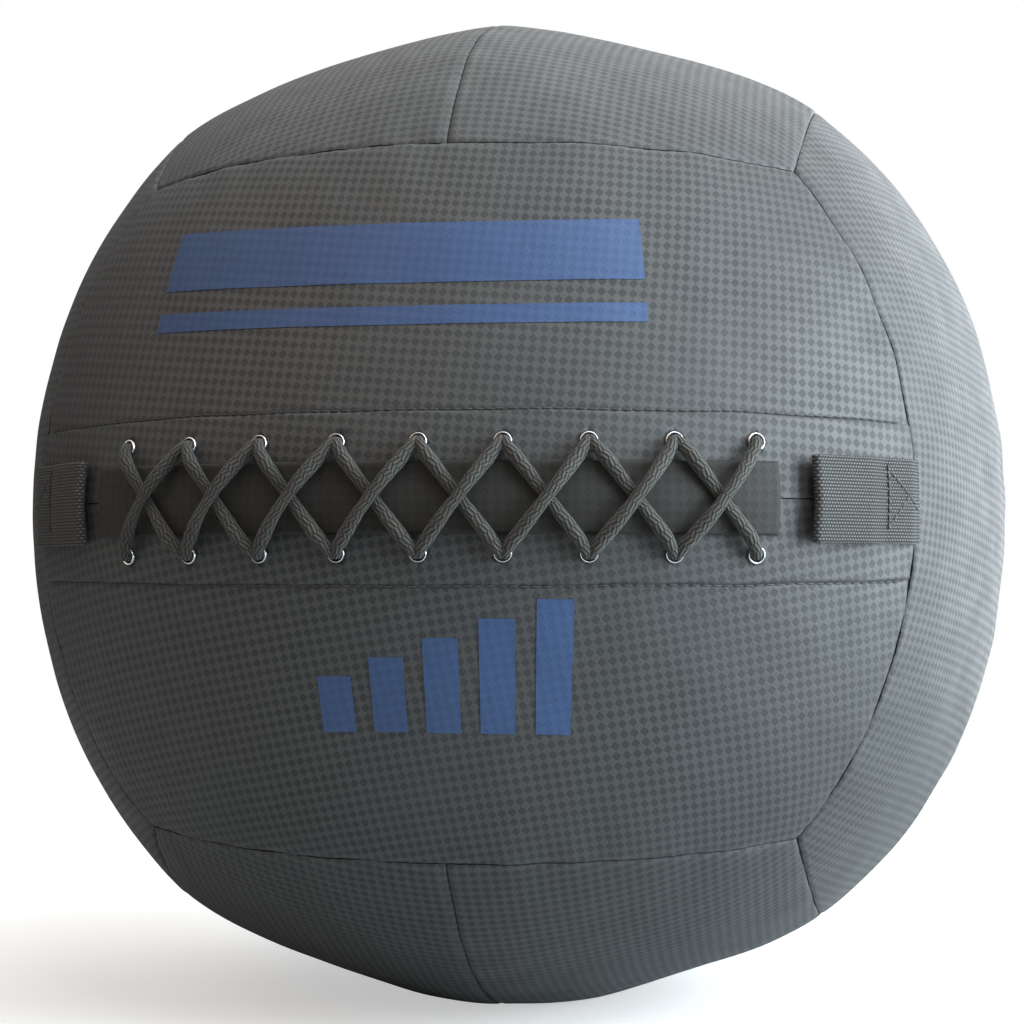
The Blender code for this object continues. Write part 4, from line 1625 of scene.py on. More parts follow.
def even_route(points: Route, sample: float) -> Route:
    """Run a smooth line through points and place new ones evenly along it.

    Args:
        points: The route.
        sample: Length between the new points.

    Returns:
        The new route.
    """
    knots = [points[0], *points, points[-1]]
    fine = []
    for index in range(len(points) - 1):
        (before, _), (start, start_size), (end, end_size), (after, _) = knots[index : index + 4]
        length = (end - start).length
        steps = max(2, math.ceil(length / sample * 2))
        lead = (end - before).normalized() * length
        trail = (after - start).normalized() * length
        for step in range(steps):
            share = step / steps
            square, cube = share * share, share**3
            place = start * (2 * cube - 3 * square + 1) + lead * (cube - 2 * square + share)
            place += end * (3 * square - 2 * cube) + trail * (cube - square)
            fine.append((place, start_size + (end_size - start_size) * smooth_step(share, 0, 1)))
    fine.append(points[-1])
    spaced, walked = [fine[0]], 0.0
    for (start, _), (end, size) in zip(fine, fine[1:]):
        walked += (end - start).length
        if walked >= sample:
            spaced.append((end, size))
            walked = 0.0
    return spaced


def smooth_cord(name: str, points: Route, radius: float, sample: float, resolution: int) -> Piece:
    """Model a round cord along a route, with a UV map of metres along it and shares round it.

    Args:
        name: Name of the piece.
        points: The route.
        radius: The cord's full radius.
        sample: Length of a segment.
        resolution: Bevel resolution of its round section.

    Returns:
        The cord as a mesh.
    """
    route = even_route(points, sample)
    curve = bpy.data.curves.new(name, "CURVE")
    curve.dimensions = "3D"
    curve.bevel_depth = radius
    curve.bevel_resolution = resolution
    curve.use_fill_caps = True
    spline = curve.splines.new("POLY")
    spline.points.add(len(route) - 1)
    for point, (place, size) in zip(spline.points, route):
        point.co = (*place, 1)
        point.radius = size / radius
    line = bpy.data.objects.new(name + "_line", curve)
    bpy.context.scene.collection.objects.link(line)
    mesh = bpy.data.meshes.new_from_object(line.evaluated_get(bpy.context.evaluated_depsgraph_get()))
    bpy.data.objects.remove(line)
    bpy.data.curves.remove(curve)
    bm = bmesh.new()
    bm.from_mesh(mesh)
    bpy.data.meshes.remove(mesh)
    length = sum((end[0] - start[0]).length for start, end in zip(route, route[1:]))
    layer = bm.loops.layers.uv.verify()
    for face in bm.faces:
        for loop in face.loops:
            share_along, share_around = loop[layer].uv
            loop[layer].uv = (share_along * length, share_around)
    LOG.info("%s is %.3f m long", name, length)
    return finish_mesh(name, bm)


@dataclass
class WebbingTab(Assembly):
    """A folded webbing tab: sewn down to the side seam, free and straight past its stitch line."""

    closure: Closure
    body: Body
    side: int
    width: float = 0.0250
    webbing: float = 0.0014
    fold_gap: float = 0.0004
    sewn_length: float = 0.0165
    to_strip: float = 0.0085
    run_steps: int = 40
    fold_steps: int = 14
    fold_bulge: float = 1.1
    pressing: float = 0.30
    pressed_run: float = 0.008
    seam_pressing: float = 0.38
    seam_run: float = 0.006
    edge_roll: float = 0.0009
    edge_share: float = 0.55
    dent: float = 0.0003
    dent_width: float = 0.0012
    flat_margin: float = 0.1
    bend_reach: Pair = (-0.0006, 0.0030)
    stitch_pitch: float = 0.0025
    stitch_ends: Pair = (0.0008, 0.0018)
    stitch_lift: float = 1.3 * CLEARANCE
    stitch_size: Size = (0.001175, 0.00045, 0.00030)

    @property
    def thickness(self) -> float:
        """Thickness of the folded tab."""
        return 2 * self.webbing + self.fold_gap

    @property
    def hinge_arc(self) -> float:
        """Arc of the stitch line."""
        return self.shape.slit_half_length - self.sewn_length

    @property
    def free_length(self) -> float:
        """Length from the stitch line to the fold."""
        end = max(self.side * arc for arc in self.closure.strip_ends)
        return self.hinge_arc - end - self.to_strip

    @property
    def side_name(self) -> str:
        """Right or left."""
        return "right" if self.side > 0 else "left"

    def layer_place(self, run: float, height: float, rise: float) -> Vector:
        """Place a point of the tab by its distance from the stitch line.

        Args:
            run: Distance towards the free end, negative on the sewn part.
            height: Height above the cover under the sewn part.
            rise: Place across the webbing.

        Returns:
            The point in the frame.
        """
        shape = self.shape
        arc = self.side * self.hinge_arc
        pressed = 1 - self.pressing * (1 - smooth_step(run, 0.0, self.pressed_run))
        pressed -= self.seam_pressing * (1 - smooth_step(run, -self.sewn_length, self.seam_run - self.sewn_length))
        if run < 0:
            return shape.slit_point(arc - self.side * run, rise, height * pressed)
        frame = shape.slit_frame(arc, rise)
        return frame @ Vector((-self.side * run, 0, height * pressed))

    def path(self) -> list[Pair]:
        """Draw the webbing's middle line from the seam over the top, round the fold and back under.

        Returns:
            Points of (run, height).
        """
        low = CLEARANCE + self.webbing / 2
        high = CLEARANCE + self.thickness - self.webbing / 2
        bend = self.free_length - self.thickness / 2
        radius = (high - low) / 2
        sewn_end = CLEARANCE - self.sewn_length
        steps = self.run_steps
        top = [(sewn_end + (bend - sewn_end) * step / steps, high) for step in range(steps + 1)]
        fold = []
        for step in range(1, self.fold_steps):
            angle = math.pi / 2 - math.pi * step / self.fold_steps
            out = bend + radius * self.fold_bulge * math.cos(angle)
            fold.append((out, (low + high) / 2 + radius * math.sin(angle)))
        return top + fold + [(run, low) for run, _ in reversed(top)]

    def flat_place(self, length: float, across: float) -> Pair:
        """Find the place of a point of the ribbon on its flat webbing."""
        return length + self.flat_margin, across + self.flat_margin

    def ribbon_side(self, line: dict[float, tuple[Pair, Pair]], side: int, length: float, across: float) -> Vector:
        """Place a point on one side of the ribbon, thin at its edges and dented by the stitch line.

        Args:
            line: Point and direction of the middle line at each length.
            side: 1 on the folded tab's outside, -1 inside the fold.
            length: Length along the ribbon.
            across: Place across it.

        Returns:
            The point in the frame.
        """
        (run, height), (run_step, height_step) = line[length]
        size = math.hypot(run_step, height_step)
        thick = 1 - self.edge_share * rolled(self.width / 2 - abs(across), self.edge_roll)
        thick *= side * self.webbing / 2
        dented = side > 0 and height > self.thickness / 2
        dent = self.dent * math.exp(-((run / self.dent_width) ** 2)) if dented else 0.0
        return self.layer_place(run - thick * height_step / size, height + thick * run_step / size - dent, across)

    def ribbon(self) -> Piece:
        """Model the folded webbing as one ribbon.

        Returns:
            The ribbon.
        """
        path = self.path()
        lengths = [0.0]
        for start, end in zip(path, path[1:]):
            lengths.append(lengths[-1] + math.dist(start, end))
        steps = [(end[0] - start[0], end[1] - start[1]) for start, end in zip([path[0], *path], [*path[1:], path[-1]])]
        line = dict(zip(lengths, zip(path, steps)))
        rows = crowded(26, 0.7, -self.width / 2, self.width / 2)
        outside, inside = partial(self.ribbon_side, line, 1), partial(self.ribbon_side, line, -1)
        return laid_sheet(f"{self.side_name}_webbing_tab", lengths, rows, outside, inside, self.flat_place)

    def stitches(self) -> Piece:
        """Model the stitch line and the crossed stitches beside it.

        Returns:
            The stitches as one piece.
        """
        bm, half = bmesh.new(), self.width / 2
        start = self.hinge_arc + self.stitch_ends[0]
        end = self.shape.slit_half_length - self.stitch_ends[1]
        lines = [
            ((start, -0.68 * half), (start, 0.86 * half)),
            ((start + 0.0012, 0.66 * half), (end, -0.18 * half)),
            ((start, -0.62 * half), (start + 0.0090, 0.14 * half)),
        ]
        for (arc, rise), (next_arc, next_rise) in lines:
            count = round(math.hypot(next_arc - arc, next_rise - rise) / self.stitch_pitch)
            turn = math.atan2(next_rise - rise, self.side * (next_arc - arc))
            for index in range(count):
                share = (index + 0.5) / count
                middle_arc = self.side * (arc + (next_arc - arc) * share)
                middle_rise = rise + (next_rise - rise) * share
                frame = self.shape.slit_frame(middle_arc, middle_rise)
                run = self.hinge_arc - self.side * middle_arc
                frame.translation = self.layer_place(run, self.stitch_lift + self.thickness, middle_rise)
                add_stitch(bm, frame, turn, self.stitch_size)
        return finish_mesh(f"{self.side_name}_tab_stitches", bm)

    def build(self) -> None:
        """Build the tab and its stitches."""
        piece, name = self.ribbon(), self.side_name
        start, end = (self.layer_place(run, CLEARANCE + self.thickness, 0.0) for run in self.bend_reach)
        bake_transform(piece)
        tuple(start)
        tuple(end)
        self.shop.dress(piece, Slot.WEBBING, [f"{name}_tab_base", f"{name}_tab_loop"])
        self.shop.hand_over(self.stitches(), Slot.WEBBING, finish=SewingThread.name)


@dataclass
class Linings(Assembly):
    """Sheets and knot behind the slit: the eyelets' facings, the tied lace ends and the flap behind them."""

    eyelets: Eyelets
    lacing: Lacing
    facing_depth: float = 0.0028
    facing_thickness: float = 0.0015
    facing_width_share: float = 0.25
    facing_length_share: float = 0.85
    facing_ripple: float = 0.00012
    edge_roll: float = 0.0008
    edge_depth: float = 0.00055
    flap_thickness: float = 0.0012
    flap_step: float = 0.0026
    flap_seam: float = 0.0030
    flap_overhang: float = 0.0150
    flap_ripple: float = 0.00020
    stitch_pitch: float = 0.0040
    stitch_end: float = 0.003
    knot_cord: float = 0.00145
    knot_steps: int = 72

    @property
    def facing_edge(self) -> float:
        """Arc from the slit to a facing's far edge."""
        return self.facing_width_share * self.shape.panel_width

    @property
    def flap_ends(self) -> Pair:
        """Arcs of the flap's two ends."""
        return self.eyelets.arcs[0] - self.flap_overhang, self.eyelets.arcs[-1] + self.flap_overhang

    @property
    def flap_half_width(self) -> float:
        """Arc from the slit to the flap's long edge."""
        return self.facing_edge + self.flap_step + self.flap_seam

    def facing_side(self, place: PanelPlace, depth: float, side: int, along: float, across: float) -> Vector:
        """Place a point on one side of a facing, rounded at its cut edges.

        Args:
            place: The panel that carries it.
            depth: Depth of the side below the cover.
            side: 1 on its outer side, -1 on its inner one.
            along: Share along the panel.
            across: Share across it.

        Returns:
            The point in the frame.
        """
        shape = self.shape
        inward = min(self.facing_width_share - across, across - shape.border) * shape.panel_width
        inward = min(inward, (self.facing_length_share - abs(along)) * shape.slit_half_length)
        depth += side * self.edge_depth * rolled(inward, self.edge_roll)
        depth += self.facing_ripple * noise.noise(Vector((along * 14, across * 9, side)))
        return shape.point(place.turn(shape.panel_direction(along, across)), depth)

    def facing_place(self, along: float, across: float) -> Pair:
        """Find the place of a facing's point on its flat cloth."""
        return on_material(along * self.shape.slit_half_length, across * self.shape.panel_width)

    def facing(self, row: Row) -> Piece:
        """Model the strip sewn inside a front panel's edge, cut for its eyelets.

        Args:
            row: Which side of the slit.

        Returns:
            The facing.
        """
        columns = crowded(130, 0.5, -self.facing_length_share, self.facing_length_share)
        rows = crowded(16, 0.7, self.shape.border, self.facing_width_share)
        outside = partial(self.facing_side, front_place(row), self.facing_depth, 1)
        inside = partial(self.facing_side, front_place(row), self.facing_depth + self.facing_thickness, -1)
        piece = laid_sheet(f"{row.word}_eyelet_facing", columns, rows, outside, inside, self.facing_place)
        self.eyelets.pierce(piece, row)
        return piece

    def flap_depth(self, rise: float) -> float:
        """Follow the flap from behind the lace out to its seams.

        Args:
            rise: Arc from the slit.

        Returns:
            Depth of the flap's outer side.
        """
        shape, lacing, edge = self.shape, self.lacing, self.facing_edge
        ridge = shape.cover_radius(shape.slit_direction(0, 0))
        ridge -= shape.cover_radius(shape.slit_direction(0, self.eyelets.rise))
        seam = self.facing_depth + lacing.facet_sag
        stops = [
            (0.0, lacing.flap_depth + ridge),
            (self.eyelets.rise, lacing.flap_depth),
            (edge, self.facing_depth + self.facing_thickness + self.flap_thickness),
            (edge + self.flap_step, seam),
            (self.flap_half_width, seam),
        ]
        for (low, start), (high, end) in zip(stops, stops[1:]):
            if rise <= high:
                return start + (end - start) * smooth_step(rise, low, high)
        return seam

    def flap_side(self, below: float, arc: float, rise: float) -> Vector:
        """Place a point on one side of the flap, which is slack between its seams.

        Args:
            below: Depth of the side below the flap's outer one.
            arc: Arc to the right of the slit's middle.
            rise: Arc above the slit.

        Returns:
            The point in the frame.
        """
        slack = smooth_step(self.flap_half_width - abs(rise), 0.004, 0.012)
        ripple = self.flap_ripple * slack * (0.6 + noise.noise(Vector((arc / 0.011, rise / 0.030, 2.7))))
        return self.shape.slit_point(arc, rise, -self.flap_depth(abs(rise)) - below - ripple)

    def flap(self) -> Piece:
        """Model the flap that keeps the fill in, sewn to both panels past their facings.

        Returns:
            The flap.
        """
        columns = crowded(130, 0.4, *self.flap_ends)
        rows = crowded(64, 0.3, -self.flap_half_width, self.flap_half_width)
        outside, inside = partial(self.flap_side, 0.0), partial(self.flap_side, self.flap_thickness)
        return laid_sheet("lace_flap", columns, rows, outside, inside, on_material)

    def flap_stitches(self) -> Piece:
        """Model the thread that holds the flap's two long edges.

        Returns:
            The stitches as one piece.
        """
        seam, (low, high) = self.flap_half_width - self.flap_seam / 2, self.flap_ends
        arcs = stitch_middles(low + self.stitch_end, high - self.stitch_end, self.stitch_pitch)
        height = -(self.facing_depth + self.lacing.facet_sag + self.flap_thickness)
        places = [(arc, side * seam) for side in (-1, 1) for arc in arcs]
        return stitch_line("flap_stitches", self.shape, places, height)

    def knot(self) -> Piece:
        """Model the lace's tied ends, pressed between the facings and the flap.

        Returns:
            The knot.
        """
        shape, lacing = self.shape, self.lacing
        arc = self.eyelets.arcs[-1] - lacing.radius - CLEARANCE
        frame = shape.slit_frame(arc, 0)
        frame.translation = shape.slit_point(arc, 0, -lacing.knot_depth)
        reach = (lacing.knot_half_length - self.knot_cord) / 3
        lift = lacing.flap_depth - CLEARANCE - lacing.knot_depth - self.knot_cord
        points = []
        for step in range(self.knot_steps + 1):
            turn = 2 * math.pi * step / self.knot_steps
            ring = reach * (2 + math.cos(3 * turn))
            place = Vector((ring * math.cos(2 * turn), ring * math.sin(2 * turn), lift * math.sin(3 * turn)))
            points.append((frame @ place, self.knot_cord))
        return smooth_cord("tied_lace_ends", points, self.knot_cord, 0.0007, 5)

    def build(self) -> None:
        """Build the facings, the knot and the flap."""
        for row in Row:
            self.shop.hand_over(self.facing(row), Slot.FACING, [f"{row.word}_facing"])
        self.shop.hand_over(self.knot(), Slot.LACE, ["lace_knot"])
        self.shop.hand_over(self.flap(), Slot.FACING, ["inner_flap"])
        self.shop.hand_over(self.flap_stitches(), Slot.FACING, finish=SewingThread.name)


@dataclass
class Core(Assembly):
    """The stuffing: fibre round a cloth bag of iron sand, whose neck is gathered and tied towards the slit."""

    fill: Piece
    bag_radius: float = 0.08
    bag_wall: float = 0.0012
    waist: float = 0.011
    mouth: float = 0.017
    neck_length: float = 0.036
    tie_radius: float = 0.0018
    tie_cord: float = 0.00095
    sand_share: float = 0.69
    pleats: int = 14
    pleat_depth: float = 0.0024
    unevenness: float = 0.00010
    sand_hollow: float = 0.0022
    sand_ripple: float = 0.0005
    neck_steps: int = 18
    side_steps: int = 48
    top_steps: int = 26
    tie_steps: int = 96
    steps: int = 112
    voxel: float = 0.0036
    felt_depth: float = 0.0016
    tuft_height: float = 0.0009

    @property
    def frame(self) -> Matrix:
        """Frame of the core, with its Z axis towards the slit."""
        return Matrix.Translation(self.shape.centre) @ Matrix.Rotation(math.pi / 2, 4, "X")

    @property
    def tied(self) -> float:
        """Height of the tie above the bag's middle."""
        return self.bag_radius + self.neck_length / 2

    @property
    def sand_level(self) -> float:
        """Height of the sand above the bag's middle."""
        return self.bag_radius * self.sand_share

    @property
    def sand_rim(self) -> float:
        """Radius of the sand's top."""
        return math.sqrt((self.bag_radius - self.bag_wall - CLEARANCE) ** 2 - self.sand_level**2)

    def outline(self, offset: float) -> list[Pair]:
        """Draw the bag's side at an offset, from its gathered mouth round to the far pole.

        Args:
            offset: Distance outside the bag's cloth, negative inside.

        Returns:
            Points of (radius, height).
        """
        shoulder = math.asin(self.mouth / self.bag_radius)
        base, top = self.bag_radius * math.cos(shoulder), self.bag_radius + self.neck_length
        points = []
        for step in range(self.neck_steps):
            height = top + (base - top) * step / self.neck_steps
            reach = (top if height > self.tied else base) - self.tied
            open_share = smooth_step(abs(height - self.tied), 0.0, abs(reach))
            points.append((self.waist + (self.mouth - self.waist) * open_share + offset, height))
        radius = self.bag_radius + offset
        for ring in range(self.side_steps + 1):
            angle = shoulder + (math.pi - shoulder) * ring / self.side_steps
            points.append((radius * math.sin(angle), radius * math.cos(angle)))
        points[-1] = (0, -radius)
        return points

    def gathered(self, place: Vector) -> Vector:
        """Draw the bag's cloth into pleats round its tied neck, and let it lie a little uneven elsewhere.

        Args:
            place: Place on the smooth bag.

        Returns:
            The place on the gathered bag.
        """
        radius, angle = math.hypot(place.x, place.y), math.atan2(place.y, place.x)
        if radius < CLEARANCE:
            return place
        near = smooth_step(place.z, 0.72 * self.bag_radius, self.bag_radius)
        drawn = self.pleat_depth * near * (0.5 + 0.5 * math.cos(self.pleats * angle + 0.5 * math.sin(3 * angle)))
        drawn += self.unevenness * noise.noise(place / 0.02)
        return Vector((place.x, place.y, 0)) * (1 - drawn / radius) + Vector((0, 0, place.z))

    def bag(self) -> Piece:
        """Model the weight bag."""
        profile = self.outline(0) + self.outline(-self.bag_wall)[::-1]
        return spun_shape("gathered_weight_bag", profile, self.frame, self.steps, self.gathered)

    def shaken(self, place: Vector) -> Vector:
        """Hollow the sand's top a little, as it lies after shaking.

        Args:
            place: Place on the smooth sand.

        Returns:
            The place on the shaken sand.
        """
        if place.z < self.sand_level - CLEARANCE:
            return place
        sunk = self.sand_hollow * (0.6 + noise.noise(place / 0.017)) + self.sand_ripple * noise.noise(place / 0.004)
        away = math.hypot(place.x, place.y) / self.sand_rim
        return place - Vector((0, 0, max(sunk, 0.0) * (1 - away**6)))

    def sand(self) -> Piece:
        """Model the iron sand with its shaken, uneven top.

        Returns:
            The sand.
        """
        top = [(self.sand_rim * step / self.top_steps, self.sand_level) for step in range(self.top_steps + 1)]
        side = [point for point in self.outline(-self.bag_wall - CLEARANCE) if point[1] < self.sand_level]
        return spun_shape("loose_iron_sand", top + side, self.frame, self.steps, self.shaken)

    def tie(self) -> Piece:
        """Model the cord wound twice round the neck.

        Returns:
            The cord.
        """
        reach = self.waist + 2 * CLEARANCE + self.tie_cord
        points = []
        for step in range(self.tie_steps + 1):
            share = step / self.tie_steps
            turn = 4 * math.pi * share
            height = self.tied + (self.tie_radius - self.tie_cord) * (2 * share - 1)
            place = Vector((reach * math.cos(turn), reach * math.sin(turn), height))
            points.append((self.frame @ place, self.tie_cord))
        return smooth_cord("wound_neck_tie", points, self.tie_cord, 0.0006, 4)

    def batting(self) -> Piece:
        """Model the packed fibre, felted into lumps inside the space that the frame gives it.

        Returns:
            The fibre.
        """
        bm = bmesh.new()
        bm.from_mesh(self.fill.data)
        bmesh.ops.remove_doubles(bm, verts=bm.verts, dist=WELD_DISTANCE)
        piece = finish_mesh("packed_batting", bm, math.pi)
        felted = piece.modifiers.new("felted", "REMESH")
        felted.mode = "VOXEL"
        felted.voxel_size = self.voxel
        bake_modifiers(piece)
        normals = [vertex.normal.copy() for vertex in piece.data.vertices]
        for vertex, normal in zip(piece.data.vertices, normals):
            tuft = noise.noise(vertex.co / 0.012) + 0.6 * noise.noise(vertex.co / 0.005)
            vertex.co -= normal * (self.felt_depth + self.tuft_height * tuft)
            place = self.frame.inverted() @ vertex.co
            nearest = self.bag_radius + 3 * CLEARANCE + 0.0006 * (1 + tuft)
            if place.length < nearest and place.z < 0.9 * self.bag_radius:
                vertex.co = self.frame @ (place.normalized() * nearest)
        piece.data.shade_smooth()
        return piece

    def build(self) -> None:
        """Build the fibre, the bag, the sand and the tie."""
        batting = self.batting()
        self.shop.hand_over(batting, Slot.FIBRE, ["fibre_fill"])
        self.shop.hand_over(self.bag(), Slot.CANVAS, ["weight_bag"])
        self.shop.hand_over(self.sand(), Slot.IRON_SAND, ["iron_sand"])
        self.shop.hand_over(self.tie(), Slot.LACE, ["bag_tie"])


@dataclass
class Prints(Assembly):
    """Plain blue prints on the front panels: two stripes above the lacing and five rising bars below it."""

    cover: SewnCover
    lift: float = 0.00012
    thickness: float = 0.00010
    cell: float = 0.0020
    stripe: Pair = (-0.100, 0.068)
    wide: Pair = (0.0665, 0.0860)
    narrow: Pair = (0.0530, 0.0590)
    bars: int = 5
    bar_width: float = 0.0112
    bar_pitch: float = 0.0176
    bar_left: float = -0.0375
    bar_foot: float = -0.0715
    first_bar: float = 0.0175
    bar_step: float = 0.0060

    def laid_on(self, bm: bmesh.types.BMesh, name: str, row: Row) -> Piece:
        """Lay a flat shape on the cover as a thin film.

        Args:
            bm: Flat mesh with X as arc and Y as rise.
            name: Name of the piece.
            row: Which front panel it lies on.

        Returns:
            The film.
        """
        for axis in range(2):
            places = [vertex.co[axis] for vertex in bm.verts]
            low, normal = min(places), Vector((1 - axis, axis, 0))
            for step in range(1, int((max(places) - low) / self.cell) + 1):
                geom = bm.verts[:] + bm.edges[:] + bm.faces[:]
                bmesh.ops.bisect_plane(bm, geom=geom, plane_co=normal * (low + step * self.cell), plane_no=normal)
        bmesh.ops.triangulate(bm, faces=[face for face in bm.faces if len(face.verts) > 4])
        layer = bm.loops.layers.uv.get("UVMap") or bm.loops.layers.uv.new("UVMap")
        place = front_place(row)
        for face in bm.faces:
            for loop in face.loops:
                loop[layer].uv = self.cover.flat_place(place, self.local(place, loop.vert.co))
        raised = set(bmesh.ops.extrude_face_region(bm, geom=bm.faces[:])["geom"])
        for vertex in bm.verts:
            local = self.local(place, vertex.co)
            height = self.cover.relief(place, local) + self.lift + (self.thickness if vertex in raised else 0.0)
            vertex.co = self.shape.point(place.turn(local), -height)
        return finish_mesh(name, bm)

    def local(self, place: PanelPlace, flat: Vector) -> Vector:
        """Find the panel's direction under a flat place."""
        world = self.shape.slit_direction(flat.x, flat.y)
        return Vector((world.dot(place.out), world.dot(place.over), world.dot(place.beside)))

    def blocks(self, name: str, corners: list[tuple[Pair, Pair]], row: Row) -> Piece:
        """Model printed blocks as one piece.

        Args:
            name: Name of the piece.
            corners: Arc and rise of each block's lower left and upper right corner.
            row: Which front panel they lie on.

        Returns:
            The blocks.
        """
        bm = bmesh.new()
        for (left, foot), (right, top) in corners:
            size = Matrix.Diagonal((right - left, top - foot, 1, 1))
            middle = Matrix.Translation(((left + right) / 2, (foot + top) / 2, 0))
            bmesh.ops.create_grid(bm, x_segments=1, y_segments=1, size=0.5, matrix=middle @ size)
        return self.laid_on(bm, name, row)

    def rising_bars(self) -> list[tuple[Pair, Pair]]:
        """Lay out the bars below the lacing, each taller than the one before.

        Returns:
            Their corners.
        """
        bars = []
        for index in range(self.bars):
            left = self.bar_left + index * self.bar_pitch
            top = self.bar_foot + self.first_bar + index * self.bar_step
            bars.append(((left, self.bar_foot), (left + self.bar_width, top)))
        return bars

    def build(self) -> None:
        """Build the stripes and the bars."""
        for name, corners, row in (
            ("printed_wide_stripe", [tuple(zip(self.stripe, self.wide))], Row.UPPER),
            ("printed_narrow_stripe", [tuple(zip(self.stripe, self.narrow))], Row.UPPER),
            ("printed_rising_bars", self.rising_bars(), Row.LOWER),
        ):
            self.shop.hand_over(self.blocks(name, corners, row), Slot.COVER, finish=ScreenInk.name)


@dataclass
class Studio:
    """White sweep, soft lamps, two dark cards out of view, and the camera at the photograph's angle."""

    shape: BallShape
    distance: float = 0.794
    azimuth: float = math.radians(9.1)
    elevation: float = math.radians(-1.8)
    lens: float = 77.6
    shift: Pair = (-0.0074, 0.0036)
    sensor: float = 36.0
    floor_size: float = 2.4
    floor_drop: float = 0.0002
    floor_glow: float = 0.50

    def aimed(self, name: str, data: bpy.types.ID, place: Vector, ahead: Vector) -> Piece:
        """Add a lamp or a camera to the scene.

        Args:
            name: Its name.
            data: Its data.
            place: Where it stands.
            ahead: Direction that it faces.

        Returns:
            The object.
        """
        item = bpy.data.objects.new(name, data)
        bpy.context.scene.collection.objects.link(item)
        item.location = place
        item.rotation_euler = ahead.to_track_quat("-Z", "Y").to_euler()
        return item

    def camera(self) -> None:
        """Place the camera."""
        data = bpy.data.cameras.new("camera")
        data.lens = self.lens
        data.sensor_width = self.sensor
        data.shift_x, data.shift_y = self.shift
        data.clip_start = 0.05
        level = math.cos(self.elevation)
        back = Vector((math.sin(self.azimuth) * level, -math.cos(self.azimuth) * level, math.sin(self.elevation)))
        place = self.shape.centre + back * self.distance
        bpy.context.scene.camera = self.aimed("camera", data, place, -back)

    def lamp(self, name: str, place: Vector, size: Pair, power: float, colour: Colour = (1, 1, 1)) -> None:
        """Place a soft lamp that faces the ball.

        Args:
            name: Name of the lamp.
            place: Its middle.
            size: Its width and height.
            power: Its power in watts.
            colour: Its colour.
        """
        data = bpy.data.lights.new(name, "AREA")
        data.shape = "RECTANGLE"
        data.size, data.size_y = size
        data.energy = power
        data.color = colour
        self.aimed(name, data, place, self.shape.centre - place).visible_camera = False

    def seen_white(self, sheet: NodeSheet, *others: str) -> Socket:
        """Add the share of rays that see the white sweep.

        Args:
            sheet: Nodes to add it to.
            *others: Kinds of rays that see it beside the camera's.

        Returns:
            1 for those rays, otherwise 0.
        """
        path = sheet.add("ShaderNodeLightPath")
        seen = path.outputs["Is Camera Ray"]
        for kind in others:
            seen = sheet.math("MAXIMUM", seen, path.outputs[kind])
        return seen

    def world(self) -> None:
        """Light the surroundings: white to look at, dimmer as a light."""
        world = bpy.data.worlds.new("white_sweep")
        bpy.context.scene.world = world
        sheet = NodeSheet(world)
        parts = sheet.add("ShaderNodeSeparateXYZ")
        sheet.feed(parts.inputs[0], sheet.add("ShaderNodeTexCoord").outputs["Generated"])
        level = sheet.ranged(parts.outputs["Z"], (-0.1, 0.5), (0.06, 0.35), "LINEAR")
        seen = self.seen_white(sheet, "Is Glossy Ray", "Is Transmission Ray")
        sheet.settle(Color=sheet.mixed(seen, level, (1, 1, 1)))

    def plane(self, name: str, matrix: Matrix) -> tuple[Piece, NodeSheet]:
        """Add a flat, matt part of the stage.

        Args:
            name: Name of the plane and of its material.
            matrix: What places a plane of one metre.

        Returns:
            The plane and its material's nodes.
        """
        bm = bmesh.new()
        bmesh.ops.create_grid(bm, x_segments=1, y_segments=1, size=0.5, matrix=matrix)
        plane, material = finish_mesh(name, bm), bpy.data.materials.new(name)
        plane.data.materials.append(material)
        sheet = NodeSheet(material)
        sheet.settle(Roughness=0.9)
        return plane, sheet

    def floor(self) -> None:
        """Lay the pale floor, which keeps the ball's shadow and fades out around it."""
        floor, sheet = self.plane("floor", Matrix.Diagonal((self.floor_size, self.floor_size, 1, 1)))
        floor.location.z = -self.floor_drop
        sheet.settle(Base_Color=sheet.mixed(self.seen_white(sheet), (0.45, 0.47, 0.48), (0.80, 0.80, 0.80)))
        glow = sheet.math("MULTIPLY", self.seen_white(sheet), self.floor_glow)
        away = sheet.add("ShaderNodeVectorMath", operation="LENGTH")
        sheet.feed(away.inputs[0], sheet.add("ShaderNodeTexCoord").outputs["Object"])
        fade = sheet.ranged(away.outputs["Value"], (0.35, 1.1), (1.0, 0.0))
        sheet.settle(Emission_Color=(1, 1, 1), Emission_Strength=glow, Alpha=fade)

    def card(self, name: str, place: Vector, size: Pair, colour: Colour) -> None:
        """Stand a dark card beside the ball, unseen by the camera.

        Args:
            name: Name of the card.
            place: Its middle.
            size: Its width and height.
            colour: Its colour.
        """
        turn = (self.shape.centre - place).to_track_quat("Z", "Y").to_matrix().to_4x4()
        card, sheet = self.plane(name, Matrix.Translation(place) @ turn @ Matrix.Diagonal((*size, 1, 1)))
        card.visible_camera = False
        sheet.settle(Base_Color=colour)

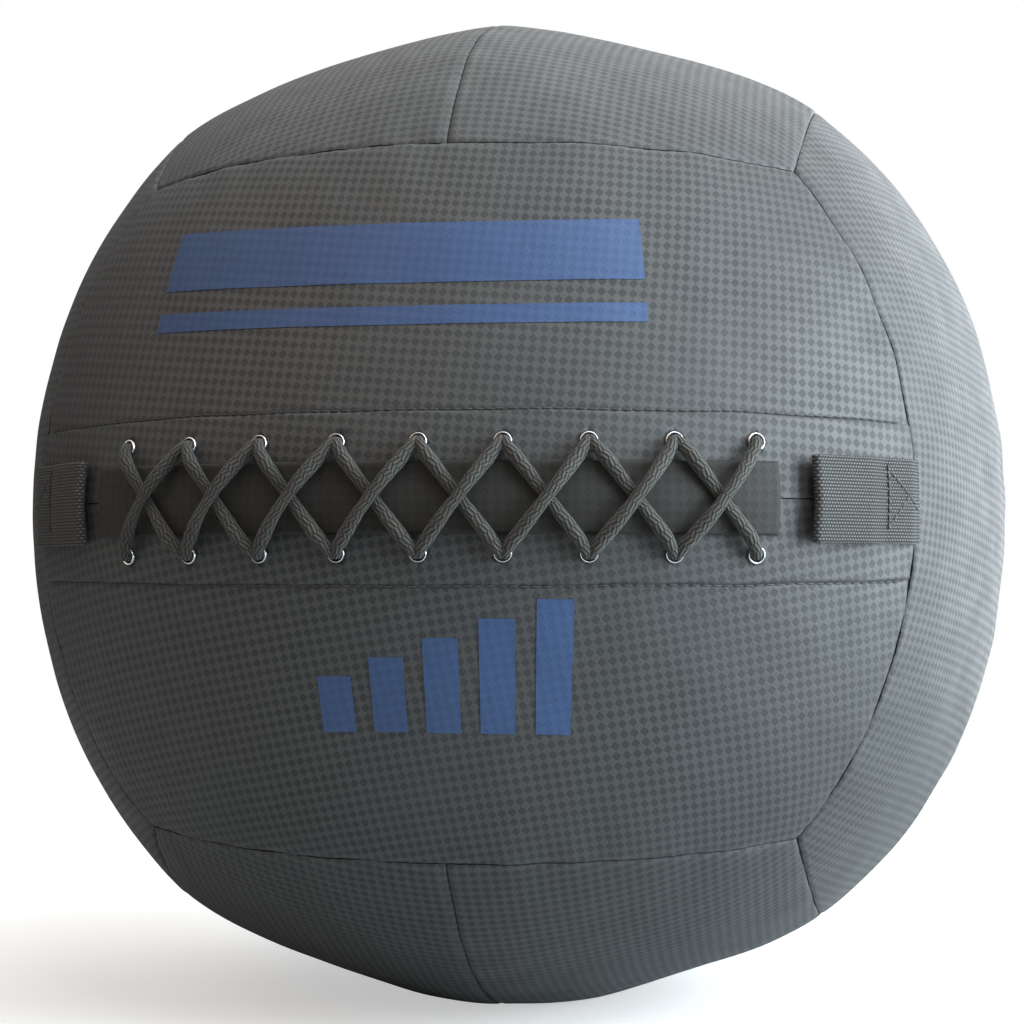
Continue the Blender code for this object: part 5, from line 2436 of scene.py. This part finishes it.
    def build(self) -> None:
        """Set up the camera, the surroundings, the floor, the cards and the lamps."""
        scene = bpy.context.scene
        scene.view_settings.view_transform = "Standard"
        self.camera()
        self.world()
        self.floor()
        self.card("front_card", Vector((-0.55, -1.55, 0.55)), (2.6, 2.2), (0.090, 0.052, 0.028))
        self.card("left_card", Vector((-1.20, 0.75, 0.45)), (2.4, 1.6), (0.045, 0.045, 0.045))
        self.lamp("right_rear_lamp", Vector((1.15, 1.15, 0.35)), (2.0, 1.8), 23, (0.84, 0.95, 1.0))
        self.lamp("right_lamp", Vector((1.5, -0.35, 0.40)), (1.2, 1.3), 57, (0.80, 0.93, 1.0))
        self.lamp("front_lamp", Vector((0.87, -0.95, 1.74)), (1.6, 1.4), 23, (0.86, 0.95, 1.0))
        self.lamp("warm_lamp", Vector((-0.60, -0.95, 1.05)), (1.0, 0.8), 3.0, (1.0, 0.60, 0.33))
        self.lamp("top_lamp", Vector((0.40, 0.35, 1.7)), (1.5, 1.2), 7)


def dress_frame_nodes(frame: dict, shop: Workshop) -> None:
    """Give every frame node that still shows its finish.

    Args:
        shop: The finishes.
    """
    slots = {part["node"]: Slot(part["material_slot"]) for part in frame["record"]["subparts"]}
    for name, node in frame["nodes"].items():
        shop.paint(node, SLOT_FINISHES[slots[name]])


def main() -> None:
    """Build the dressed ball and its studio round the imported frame."""
    logging.basicConfig(level=logging.INFO, format="%(message)s")
    for item in list(bpy.data.objects):
        bpy.data.objects.remove(item)
    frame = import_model()
    shop = Workshop()
    shop.prepare()
    dress_frame_nodes(frame, shop)
    eyelets = Eyelets(shop)
    cover = SewnCover(shop)
    cover.build(eyelets)
    eyelets.build()
    closure = Closure(shop, eyelets)
    closure.build()
    lacing = Lacing(shop, eyelets, closure)
    lacing.build()
    Linings(shop, eyelets, lacing).build()
    Core(shop, frame["nodes"]["fibre_fill"]).build()
    WebbingTab(shop, closure, Body.RIGHT_TAB, 1).build()
    WebbingTab(shop, closure, Body.LEFT_TAB, -1, to_strip=0.0044).build()
    Prints(shop, cover).build()
    Studio(shop.shape).build()
    bpy.context.view_layer.update()


if __name__ == "__main__":
    main()
